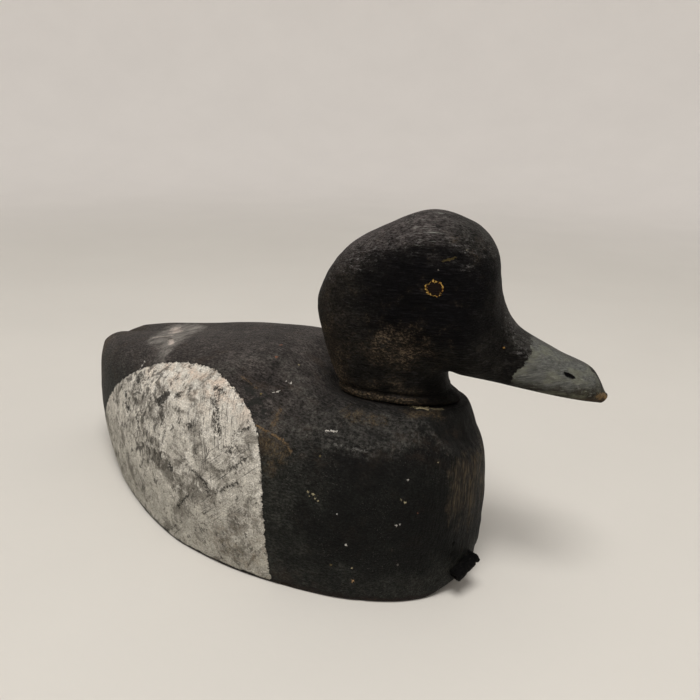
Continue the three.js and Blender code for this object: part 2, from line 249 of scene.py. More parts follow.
# Smear across the rump as seen from above
RUMP_SMEAR = [
    (-94, 12), (-81, 17), (-57, 9), (-41, -17), (-34, -30), (-32, -42), (-35, -46),
    (-42, -41), (-44, -36), (-56, -31), (-67, -28), (-78, -15), (-87, 0),
]

# Mesh rows and columns
BODY_STRIPS = 720
BODY_ROWS = 116
EDGE_ROWS = 5
UNDERSIDE_SHARES = (0, 0.3, 0.6, 0.85, 0.97)
RIB_SAMPLES = 360
FOOT_RINGS = 44
FOOT_END = 0.066
HEAD_RINGS = 320
TIP_RINGS = 8
HEAD_RING_POINTS = 256
# They stand closer where the form turns faster: at the breast, low on the ribs and at the neck's foot
BREAST_CROWDING = 0.3
RIB_CROWDING = 3
FOOT_CROWDING = 1.6
# The strap's sections across its width: insets from either edge, then even ones
STRAP_EDGE_INSETS = (0, 0.06, 0.2, 0.42, 0.7)
STRAP_MIDDLE_INSET = 1.2
STRAP_MIDDLE_SECTIONS = 40
LEAF_STEPS = 9
FOLD_STEPS = 18
# Lengths of the waves that make up the uneven surfaces, as multiples of the humps' size
WAVE_LENGTHS = (1.4, 3.0)
WELD_MM = 0.12
STRAP_WELD_MM = 0.01


def ramp(value, start, end):
    """0 at start, 1 at end and smooth between; the end may be the lower of the two."""
    share = np.clip((value - start) / (end - start), 0, 1)
    return share * share * (3 - 2 * share)


def signed_power(value, power):
    return np.sign(value) * np.abs(value) ** power


def mix(a, b, share):
    return a + (b - a) * share


def hermite(t, start, end, start_slope, end_slope):
    """Cubic from start to end with the slopes given there, at share t of the way."""
    return (
        (2 * t**3 - 3 * t**2 + 1) * start
        + (t**3 - 2 * t**2 + t) * start_slope
        + (3 * t**2 - 2 * t**3) * end
        + (t**3 - t**2) * end_slope
    )


def curve_through(places, values, place):
    """Smooth curve through the values given at rising places."""
    places = np.asarray(places, float)
    values = np.asarray(values, float)
    slope = np.gradient(values)
    slope[1:-1] = (values[2:] - values[:-2]) / (places[2:] - places[:-2])
    slope[0] = (values[1] - values[0]) / (places[1] - places[0])
    slope[-1] = (values[-1] - values[-2]) / (places[-1] - places[-2])
    i = np.clip(np.searchsorted(places, place) - 1, 0, len(places) - 2)
    step = places[i + 1] - places[i]
    t = (place - places[i]) / step
    return hermite(t, values[i], values[i + 1], step * slope[i], step * slope[i + 1])


def closed_curve(points, steps=10):
    """Smooth closed outline through a few points."""
    points = np.asarray(points, float)
    before, after = np.roll(points, 1, axis=0), np.roll(points, -1, axis=0)
    slope = (after - before) / 2
    next_slope = np.roll(slope, -1, axis=0)
    curve = [hermite(t, points, after, slope, next_slope) for t in np.arange(steps) / steps]
    return np.stack(curve, axis=1).reshape(-1, points.shape[1])


def distance_to_path(points, path):
    """Distance from each point to a line of straight stretches."""
    path = np.asarray(path, float)
    nearest = np.full(len(points), np.inf)
    for start, end in zip(path[:-1], path[1:]):
        run = end - start
        share = np.clip((points - start) @ run / (run @ run), 0, 1)
        gap = points - start - share[:, None] * run
        nearest = np.minimum(nearest, np.sqrt((gap**2).sum(axis=1)))
    return nearest


def distance_inside(points, outline):
    """Distance to a closed outline in the plane, above zero inside it."""
    closed = np.vstack([outline, outline[:1]])
    inside = np.zeros(len(points), bool)
    for (ax, ay), (bx, by) in zip(closed[:-1], closed[1:]):
        spans = (ay > points[:, 1]) != (by > points[:, 1])
        rise = by - ay if by != ay else 1e-9
        inside ^= spans & (points[:, 0] < (bx - ax) * (points[:, 1] - ay) / rise + ax)
    return np.where(inside, 1, -1) * distance_to_path(points, closed)


def depth_in_marks(points, marks):
    """How far each point lies inside the nearest mark, below zero outside them all."""
    return np.max([width - distance_to_path(points, path) for width, path in marks], axis=0)


def swell(points, size, seed, stretch=(1, 1, 1), waves=28):
    """Smooth random ups and downs over the points, about -1 to 1, with humps of about the size given."""
    rng = np.random.default_rng(seed)
    heading = rng.normal(size=(waves, 3))
    heading /= np.linalg.norm(heading, axis=1, keepdims=True)
    length = size * rng.uniform(*WAVE_LENGTHS, size=(waves, 1))
    phase = rng.uniform(0, 2 * np.pi, waves)
    drawn = points / np.asarray(stretch)
    return np.cos(drawn @ (2 * np.pi * heading / length).T + phase).sum(axis=1) / math.sqrt(waves)


def uneven(points, height, **humps):
    """One layer of relief over the points, outwards in mm."""
    return height * swell(points, **humps)


# Meshes


def mesh_from_rings(rings, capped):
    """Quads through rings of equal length, [ring, point, axis], with a fan over each end if capped."""
    count, around = rings.shape[:2]
    index = np.arange(count * around).reshape(count, around)
    turned = np.roll(index, -1, axis=1)
    quads = np.stack([index[:-1], turned[:-1], turned[1:], index[1:]], axis=-1).reshape(-1, 4)
    points = rings.reshape(-1, 3)
    faces = quads.tolist()
    if capped:
        first, last = len(points), len(points) + 1
        points = np.vstack([points, rings[0].mean(axis=0), rings[-1].mean(axis=0)])
        faces += [[int(index[0, i]), first, int(turned[0, i])] for i in range(around)]
        faces += [[int(index[-1, i]), int(turned[-1, i]), last] for i in range(around)]
    return points, faces


def make_piece(name, points, faces, attributes=None):
    """New object at the origin with its mesh in metres and its points' named values."""
    mesh = bpy.data.meshes.new(name)
    mesh.from_pydata((np.asarray(points) * MM).tolist(), [], faces)
    for key, values in (attributes or {}).items():
        set_values(mesh, key, values)
    mesh.shade_smooth()
    piece = bpy.data.objects.new(name, mesh)
    bpy.context.collection.objects.link(piece)
    return piece


def set_values(mesh, name, values):
    attribute = mesh.attributes.get(name) or mesh.attributes.new(name, "FLOAT", "POINT")
    attribute.data.foreach_set("value", np.asarray(values, np.float32))


def values_of(mesh, name):
    values = np.empty(len(mesh.vertices), np.float32)
    mesh.attributes[name].data.foreach_get("value", values)
    return values.astype(float)


def points_of(mesh):
    points = np.empty(len(mesh.vertices) * 3, np.float32)
    mesh.vertices.foreach_get("co", points)
    return points.reshape(-1, 3).astype(float) / MM


def normals_of(mesh):
    normals = np.empty(len(mesh.vertices) * 3, np.float32)
    mesh.vertex_normals.foreach_get("vector", normals)
    return normals.reshape(-1, 3).astype(float)


def move_points(mesh, points, box):
    """Writes the points back, none of them outside the box of the solid that the piece stands for."""
    low, high = (np.array(corner) / MM for corner in box)
    inside = np.clip(points, low, high)
    mesh.vertices.foreach_set("co", (inside * MM).astype(np.float32).ravel())
    mesh.update()


def weld(mesh, gap_mm):
    work = bmesh.new()
    work.from_mesh(mesh)
    bmesh.ops.remove_doubles(work, verts=work.verts, dist=gap_mm * MM)
    bmesh.ops.dissolve_degenerate(work, edges=work.edges, dist=gap_mm * MM / 4)
    bmesh.ops.recalc_face_normals(work, faces=work.faces)
    work.to_mesh(mesh)
    work.free()
    mesh.shade_smooth()


# Body


def distance_from_neck(x, y):
    along = (x - HEAD_X) * math.cos(HEAD_TURN) + y * math.sin(HEAD_TURN)
    across = -(x - HEAD_X) * math.sin(HEAD_TURN) + y * math.cos(HEAD_TURN)
    nearest = np.clip(along, FOOT_CORE["back"], FOOT_CORE["front"])
    return np.hypot(along - nearest, across) - HEAD_STATIONS[0][2]


def body_ribs():
    """Points up each rib from the underside's edge to the ridge, [strip, sample, axis]."""
    turn = 2 * np.pi * np.arange(BODY_STRIPS) / BODY_STRIPS
    angle = turn - BREAST_CROWDING * np.sin(turn)
    cos, sin = np.cos(angle), np.sin(angle)
    front = cos >= 0
    squareness = np.where(front, PLAN_SQUARENESS["breast"], PLAN_SQUARENESS["tail"])
    along = signed_power(cos, 2 / squareness)
    edge_x = WIDEST_AT + np.where(front, BREAST_END - WIDEST_AT, WIDEST_AT - TAIL_END) * along
    edge_y = BODY_HALF_WIDTH * signed_power(sin, 2 / squareness)
    ridge_x = WIDEST_AT + np.where(front, RIDGE_END - WIDEST_AT, WIDEST_AT - RIDGE_START) * along
    ridge_z = curve_through(RIDGE_X, RIDGE_Z, ridge_x)
    end_weight = cos**2
    rib_end = np.where(front, RIB_SQUARENESS["breast"], RIB_SQUARENESS["tail"])
    power = 2 / mix(RIB_SQUARENESS["flank"], rib_end, end_weight)
    tuck = mix(TUCK_IN["flank"], np.where(front, TUCK_IN["breast"], TUCK_IN["tail"]), end_weight)
    span = np.hypot(edge_x - ridge_x, edge_y)
    climb = (np.pi / 2) * (np.arange(RIB_SAMPLES + 1) / RIB_SAMPLES) ** RIB_CROWDING
    z = ridge_z[:, None] * np.sin(climb) ** power[:, None]
    lean = tuck[:, None] * np.clip(1 - z / TUCK_HEIGHT, 0, 1) ** 2
    below = np.clip(BOTTOM_EDGE_RADIUS - z, 0, BOTTOM_EDGE_RADIUS)
    rounding = BOTTOM_EDGE_RADIUS - np.sqrt(BOTTOM_EDGE_RADIUS**2 - below**2)
    share = np.maximum(np.cos(climb), 0) ** power[:, None] * (1 - (lean + rounding) / span[:, None])
    x = ridge_x[:, None] + (edge_x - ridge_x)[:, None] * share
    return np.stack([x, edge_y[:, None] * share, z], axis=2)


def body_grid():
    """Rings of the body from the middle of the underside to the ridge, and each point's girth."""
    ribs = body_ribs()
    steps = np.linalg.norm(np.diff(ribs, axis=1), axis=2)
    travelled = np.concatenate([np.zeros((BODY_STRIPS, 1)), np.cumsum(steps, axis=1)], axis=1)
    edge_length = BOTTOM_EDGE_RADIUS * np.pi / 2
    edge = edge_length * np.arange(EDGE_ROWS) / EDGE_ROWS
    rings = np.empty((EDGE_ROWS + BODY_ROWS, BODY_STRIPS, 3))
    girth = np.empty(rings.shape[:2])
    for i, (rib, distance) in enumerate(zip(ribs, travelled)):
        wanted = np.concatenate([edge, np.linspace(edge_length, distance[-1], BODY_ROWS)])
        girth[:, i] = wanted
        for axis in range(3):
            rings[:, i, axis] = np.interp(wanted, distance, rib[:, axis])
    foot, ridge_x = rings[0], rings[-1, :, 0]
    underside = [
        np.stack([mix(ridge_x, foot[:, 0], share), foot[:, 1] * share, np.zeros(BODY_STRIPS)], axis=1)
        for share in UNDERSIDE_SHARES
    ]
    under_girth = np.tile(-np.linalg.norm(foot[:, :2], axis=1), (len(underside), 1))
    under_girth *= 1 - np.array(UNDERSIDE_SHARES)[:, None]
    return np.concatenate([underside, rings]), np.concatenate([under_girth, girth])


def facing_of(flat):
    return np.array(flat["facing"]) / np.linalg.norm(flat["facing"])


def height_over(points, flat):
    """Distance of the points outside a knife flat."""
    return (points - np.array(flat["through"])) @ facing_of(flat)


def shave(points, flat):
    """Shaves the points back to a knife flat with a soft edge."""
    height, blend = height_over(points, flat), flat["blend"]
    soft = (np.maximum(height, -blend) + blend) ** 2 / (4 * blend)
    return points - np.where(height >= blend, height, soft)[:, None] * facing_of(flat)


def flatten_front(points):
    x, y, z = points.T
    off = np.clip(1 - (y / FRONT_STRIP["half_width"]) ** 2, 0, 1)
    off *= ramp(x, *FRONT_STRIP["along"]) * ramp(z, *FRONT_STRIP["foot"]) * ramp(z, *FRONT_STRIP["top"])
    return points - np.stack([FRONT_STRIP["depth"] * off, 0 * off, 0 * off], axis=1)


def level_seat(points):
    x, y, z = points.T
    share = 1 - ramp(distance_from_neck(x, y), SEAT_MARGIN, SEAT_MARGIN + SEAT_FADE)
    share[z < SEAT_Z / 2] = 0
    return np.stack([x, y, mix(z, SEAT_Z, share)], axis=1)


def body_relief(points):
    """Hand-carved unevenness, outwards in mm; none on the flat underside or on the neck seat."""
    x, y, z = points.T
    relief = sum(uneven(points, **layer) for layer in BODY_RELIEF)
    strip = ramp(x, *RIDGES_SHOW["along"]) * ramp(np.abs(y), *RIDGES_SHOW["off_middle"])
    relief += strip * ramp(z, *RIDGES_SHOW["foot"]) * uneven(points, **BREAST_RIDGES)
    chips = np.clip(uneven(points, **EDGE_CHIPS) - 1, 0, 1)
    relief -= EDGE_CHIP_DEPTH * chips * ramp(z, *EDGE_CHIPS_SHOW)
    relief *= ramp(z, *UNDERSIDE_FADE)
    return relief * np.maximum(ramp(distance_from_neck(x, y), *NECK_FADE), z < SEAT_Z / 2)


def body_dents(points):
    """Nail hole, small dents and a worn corner low on the breast, inwards in mm."""
    depth = np.zeros(len(points))
    for place, radius, deep in BREAST_DENTS:
        away = np.linalg.norm(points - np.array(place), axis=1)
        depth += deep * np.clip(1 - (away / radius) ** 2, 0, 1)
    return depth


def patch_depth(points, girth):
    """Distance inside the nearer flank's patch."""
    outline = closed_curve(PATCH_OUTLINE)
    flat = np.stack([points[:, 0], girth], axis=1)
    right = distance_inside(flat, outline)
    left = distance_inside(flat - LEFT_PATCH_SHIFT, outline)
    return np.where(points[:, 1] < 0, right, left)


def body_bareness(points):
    """Where the paint is worn through to brown wood, 0 to 1."""
    x, y, z = points.T
    half_width = FRONT_STRIP["half_width"]
    arris = np.exp(-(((np.abs(y) - half_width) / ARRIS_SPREAD) ** 2))
    rim = (half_width + BARE_FRONT["over_arris"], half_width - BARE_FRONT["inside_arris"])
    strip = ramp(np.abs(y), *rim)
    front = ramp(x, *BARE_FRONT["along"]) * ramp(z, *BARE_FRONT["foot"]) * ramp(z, *BARE_FRONT["top"])
    places = {
        "arris": arris * front,
        "strip": strip * front,
        "bottom_edge": ramp(z, *BARE_EDGE) * (z > LEVEL_UNDERSIDE),
        "tail": ramp(x, *BARE_TAIL),
    }
    return np.max([BARE_SHARES[name] * place for name, place in places.items()], axis=0)


def build_body():
    rings, girth = body_grid()
    points, faces = mesh_from_rings(rings, capped=False)
    facet = np.max([height_over(points, flat) for flat in KNIFE_FLATS[:3]], axis=0)
    for flat in KNIFE_FLATS:
        points = shave(points, flat)
    points = level_seat(flatten_front(points))
    piece = make_piece("body_carved", points, faces, {"girth": girth.ravel(), "facet_mm": facet})
    mesh = piece.data
    weld(mesh, WELD_MM)
    points = points_of(mesh)
    girth = values_of(mesh, "girth")
    outwards = body_relief(points) - body_dents(points)
    move_points(mesh, points + outwards[:, None] * normals_of(mesh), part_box("body"))
    set_values(mesh, "patch_mm", patch_depth(points, girth))
    set_values(mesh, "dark_mm", depth_in_marks(points, DARK_MARKS))
    set_values(mesh, "smudge_mm", depth_in_marks(points, SMUDGES))
    set_values(mesh, "stain_mm", depth_in_marks(points, BROWN_STAINS))
    from_above = distance_inside(points[:, :2], closed_curve(RUMP_SMEAR))
    set_values(mesh, "smear_mm", np.where(points[:, 2] < 60, from_above - 50, from_above))
    set_values(mesh, "bare", body_bareness(points))
    return piece


# Head


def roll_offset(z):
    """Worn roll round the neck's foot and the groove over it, outwards in mm at heights over the seat."""
    height = ROLL["height"]
    groove_height = ROLL["groove_share"] * height
    undercut = ROLL["undercut"] * np.clip(1 - z / (ROLL["undercut_share"] * height), 0, 1) ** 2
    roll = ROLL["bulge"] * np.sin(np.pi * z / height) - undercut
    groove = -ROLL["groove"] * np.sin(np.pi * (z - height) / groove_height)
    return np.where(z < height, roll, np.where(z < height + groove_height, groove, 0))


def head_rings(along):
    """Rings of the head at shares of the way from the neck's foot to the bill's tip."""
    places = np.arange(len(HEAD_STATIONS)) / (len(HEAD_STATIONS) - 1)
    station = np.array([(*under, *over, width) for under, over, width in HEAD_STATIONS])
    under_x, under_z, over_x, over_z, half_width = (
        curve_through(places, column, along)[:, None] for column in station.T
    )
    widest = curve_through(*WIDEST_SHARE, along)[:, None]
    over_power = 2 / curve_through(*OVER_SQUARENESS, along)[:, None]
    under_power = 2 / curve_through(*UNDER_SQUARENESS, along)[:, None]
    angle = -2 * np.pi * np.arange(HEAD_RING_POINTS) / HEAD_RING_POINTS
    cos, sin = np.cos(angle), np.sin(angle)
    power = np.where(cos >= 0, over_power, under_power)
    share = widest + signed_power(cos, power) * np.where(cos >= 0, 1 - widest, widest)
    x = mix(under_x, over_x, share)
    y = half_width * signed_power(sin, power)
    z = mix(under_z, over_z, share)
    from_core = x - np.clip(x, FOOT_CORE["back"], FOOT_CORE["front"])
    length = np.maximum(np.hypot(from_core, y), 1e-6)
    offset = roll_offset(z)
    return np.stack([x + offset * from_core / length, y + offset * y / length, z], axis=2)


def bill_tip(ring):
    """Rings that round off the bill's tip."""
    middle = ring.mean(axis=0)
    rings = []
    for i in range(1, TIP_RINGS + 1):
        angle = (math.pi / 2) * i / (TIP_RINGS + 1)
        rounded = mix(middle, ring, math.cos(angle) ** BILL_TIP_FULLNESS)
        rings.append(rounded + (BILL_TIP_ROUNDING * math.sin(angle), 0, 0))
    return rings


def nostril_share(x, z):
    """1 in the middle of the nostril slit, 0 at its rim and beyond, seen from either side."""
    along = x - NOSTRIL["at"][0]
    across = z - NOSTRIL["at"][1] - NOSTRIL["slope"] * along
    away = (along / NOSTRIL["half_length"]) ** 2 + (across / NOSTRIL["half_height"]) ** 2
    return np.clip(1 - away, 0, 1)


def head_relief(points):
    """Raised grain and knife work along the head, and its nostrils, outwards in mm."""
    x, y, z = points.T
    on_bill = ramp(x, *BILL_BEGINS)
    relief = sum(uneven(points, **layer) * (1 - less * on_bill) for layer, less in HEAD_RELIEF)
    relief += uneven(points, **ROLL_RELIEF) * ramp(z, *ROLL_RELIEF_SHOWS)
    relief -= NOSTRIL["depth"] * nostril_share(x, z) * (x > NOSTRILS_FROM)
    return relief * ramp(z, *HEAD_FOOT_FADE)


def bill_depth(points):
    """Distance past the feathering's edge, above zero on the bill."""
    edge = np.interp(points[:, 2], FEATHER_HEIGHTS, FEATHER_EDGE)
    return FEATHER_SLANT * (points[:, 0] - edge)


def head_bareness(points):
    """Where the black paint is worn to brown, 0 to 1: the cheek's foot, the nape and round the neck."""
    x, y, z = points.T
    (cheek_x, cheek_z), (length, height) = CHEEK_WEAR["at"], CHEEK_WEAR["spread"]
    cheek = np.exp(-(((x - cheek_x) / length) ** 2) - (((z - cheek_z) / height) ** 2))
    neck = ramp(z, *NECK_WEAR["height"])
    nape = ramp(x, *NAPE_WEAR["along"]) * ramp(z, *NAPE_WEAR["height"])
    roll = ramp(z, *ROLL_WEAR["height"])
    worn = ((CHEEK_WEAR, cheek), (NECK_WEAR, neck), (NAPE_WEAR, nape), (ROLL_WEAR, roll))
    return np.clip(sum(wear["strength"] * share for wear, share in worn), 0, 1)


def build_head():
    foot = FOOT_END * (np.arange(FOOT_RINGS + 1) / FOOT_RINGS) ** FOOT_CROWDING
    rest = np.linspace(FOOT_END, 1, HEAD_RINGS + 1)[1:]
    rings = head_rings(np.concatenate([foot, rest]))
    rings = np.concatenate([rings, bill_tip(rings[-1])])
    points, faces = mesh_from_rings(rings, capped=True)
    piece = make_piece("head_carved", points, faces)
    mesh = piece.data
    weld(mesh, WELD_MM / 2)
    own = points_of(mesh)
    carved = own + head_relief(own)[:, None] * normals_of(mesh)
    cos, sin = math.cos(HEAD_TURN), math.sin(HEAD_TURN)
    turned = np.stack([
        HEAD_X + carved[:, 0] * cos - carved[:, 1] * sin,
        carved[:, 0] * sin + carved[:, 1] * cos,
        SEAT_Z + PIECE_GAP + carved[:, 2],
    ], axis=1)
    move_points(mesh, turned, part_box("head"))
    set_values(mesh, "bill_mm", bill_depth(own))
    set_values(mesh, "bare", head_bareness(own))
    return piece


# Strap tab


def strap_placement():
    turn = Matrix.Rotation(STRAP_TURN, 4, "Z")
    dip = Matrix.Rotation(STRAP_DIP, 4, "Y")
    tilt = Matrix.Rotation(STRAP_TILT, 4, "X")
    return Matrix.Translation(Vector(STRAP_AT)) @ turn @ dip @ tilt


def strap_root(tree, placement, across, lift):
    """How far back the strap's leaf can run before it meets the breast."""
    start = placement @ Vector((STRAP["reach"], across, lift))
    backwards = placement.to_3x3() @ Vector((-1, 0, 0))
    hit = tree.ray_cast(start * MM, backwards)
    if hit[0] is None:
        return -STRAP["longest_root"]
    return max(STRAP["reach"] - hit[3] / MM + PIECE_GAP, -STRAP["longest_root"])


def strap_section(tree, placement, across):
    """Closed loop round the doubled strap at one place across its width, in the strap's own frame."""
    half_gap = STRAP["fold_gap"] / 2
    middle = half_gap + STRAP["thickness"] / 2
    fold_x = STRAP["reach"] - half_gap - STRAP["thickness"]
    edge = STRAP["width"] / 2 - abs(across)
    corner = STRAP["corner"]
    rounding = corner - math.sqrt(corner**2 - max(corner - edge, 0) ** 2)
    half = STRAP["thickness"] / 2 - rounding
    crease = sum(depth * math.exp(-(((across - at) / width) ** 2)) for at, width, depth in STRAP_CREASES)
    upper = strap_root(tree, placement, across, middle)
    lower = strap_root(tree, placement, across, -middle)
    path = []
    for share in np.arange(LEAF_STEPS) / LEAF_STEPS:
        path.append((mix(upper, fold_x, share), middle, 0, 1))
    for angle in np.linspace(math.pi / 2, -math.pi / 2, FOLD_STEPS + 1):
        cos, sin = math.cos(angle), math.sin(angle)
        path.append((fold_x + middle * cos, middle * sin, cos, sin))
    for share in np.arange(1, LEAF_STEPS + 1) / LEAF_STEPS:
        path.append((mix(fold_x, lower, share), -middle, 0, -1))
    outer = [(x + (half - crease) * nx, across, z + (half - crease) * nz) for x, z, nx, nz in path]
    inner = [(x - half * nx, across, z - half * nz) for x, z, nx, nz in path]
    return outer + inner[::-1]


def build_strap(body):
    tree = BVHTree.FromObject(body, bpy.context.evaluated_depsgraph_get())
    placement = strap_placement()
    half_width = STRAP["width"] / 2
    ends = [half_width - inset for inset in STRAP_EDGE_INSETS]
    middle_end = half_width - STRAP_MIDDLE_INSET
    middle = list(np.linspace(-middle_end, middle_end, STRAP_MIDDLE_SECTIONS))
    places = [-end for end in ends] + middle + ends[::-1]
    rings = np.array([strap_section(tree, placement, across) for across in places])
    points, faces = mesh_from_rings(rings, capped=False)
    around = rings.shape[1]
    for start in (0, len(points) - around):
        for i in range(around // 2 - 1):
            far = start + around - 1 - i
            faces.append([start + i, start + i + 1, far - 1, far])
    points = points + sum(uneven(points, **layer) for layer in STRAP_RELIEF)[:, None]
    placed = np.array([placement @ Vector(point) for point in points.tolist()])
    piece = make_piece("strap_folded", placed, faces)
    weld(piece.data, STRAP_WELD_MM)
    return piece


# Materials


# Tones of paint, wood, dirt and leather, and of painted light and shade, each its red, green and blue from
# 0 to 255
TONES = {
    "cream": (196, 184, 146),
    "white": (210, 206, 198),
    "yellow": (118, 104, 62),
    "orange": (130, 86, 64),
    "grey scuff": (104, 100, 94),
    # Upward faces: dust and painted sheen from above
    "back": (56, 52, 50),
    "top of breast": (27, 26, 25),
    "side": (32, 33, 30),
    "low side": (36, 37, 34),
    "breast": (9, 10, 9),
    "painted shade under bill": (10, 10, 9),
    "painted shade under crease": (10, 10, 10),
    "rubbed crease and painted highlight": (118, 116, 110),
    "tail": (60, 52, 42),
    "brown wear": (70, 57, 46),
    "bare wood": (94, 82, 64),
    # Bare wood at the foot, with painted contact shade
    "bottom edge": (26, 19, 18),
    "stain": (102, 86, 62),
    "nail hole": (3, 3, 3),
    "dark spot": (14, 14, 13),
    "shoulder spot": (36, 36, 34),
    "shoulder edge spot": (34, 35, 33),
    "tan spot": (196, 156, 112),
    "light brown scratch": (132, 106, 72),
    "brown scratch": (120, 98, 70),
    "dull scratch": (108, 88, 64),
    "dark brown scratch": (104, 84, 60),
    "grey scratch": (120, 118, 114),
    "old cream": (140, 130, 104),
    "smear": (148, 144, 138),
    "smear cream": (206, 192, 182),
    "smear gash": (64, 58, 52),
    "patch low": (176, 173, 163),
    "patch high": (216, 211, 201),
    "patch warm": (212, 188, 168),
    "patch pale": (232, 228, 219),
    "patch dirt": (92, 88, 80),
    "patch smudge": (74, 70, 63),
    "patch blot": (48, 45, 41),
    "patch brown": (116, 102, 82),
    "patch scratch": (50, 48, 47),
    "patch chip": (28, 26, 24),
    "patch rim": (16, 15, 14),
    # Upward faces of the head: a painted highlight from above
    "crown": (63, 59, 58),
    "brow": (46, 45, 43),
    "head side": (20, 19, 17),
    "nape": (31, 28, 24),
    "face": (3, 3, 4),
    "head line": (54, 51, 54),
    "crown rub and painted sheen": (124, 121, 120),
    "crown streak": (136, 138, 132),
    "worn paint": (56, 52, 43),
    "worn wood": (114, 98, 80),
    "throat": (8, 8, 7),
    # Painted shade in the groove over the roll
    "groove": (9, 8, 7),
    "eye": (26, 17, 14),
    "eye ring dull": (130, 84, 26),
    "eye ring bright": (214, 176, 92),
    "grey fleck": (120, 114, 106),
    "yellow fleck": (190, 170, 80),
    "green fleck": (140, 134, 112),
    "tan fleck": (150, 116, 64),
    "pale fleck": (150, 144, 132),
    "yellow stroke": (108, 94, 56),
    "bill": (86, 87, 84),
    "bill low": (46, 44, 38),
    "bill green": (112, 113, 97),
    "bill dark": (70, 69, 68),
    "bill light": (146, 146, 138),
    "bill brown": (52, 42, 32),
    "bill ridge": (58, 52, 53),
    "painted shade at bill jaw": (27, 25, 22),
    "bill nail": (30, 27, 28),
    "bill tan": (128, 104, 70),
    "nostril": (8, 8, 9),
    "nostril tail": (44, 44, 43),
    "leather": (6, 6, 6),
    "leather rub": (50, 47, 42),
    "floor": (216, 213, 207),
    "far floor with painted light": (246, 243, 240),
}


def tone(name):
    """Linear colour of a named tone."""
    shares = np.array(TONES[name]) / 255
    linear = np.where(shares <= 0.04045, shares / 12.92, ((shares + 0.055) / 1.055) ** 2.4)
    return (*linear.tolist(), 1.0)


# A spot or stroke is full within this share of its radius, and its rim is made uneven by this noise
FULL_SHARE = 0.5
RIM_NOISE = {"detail": 3, "roughness": 0.65}
STROKE_RIM_SIZE = 1.6
SPOT_RIM_SIZE = 0.8


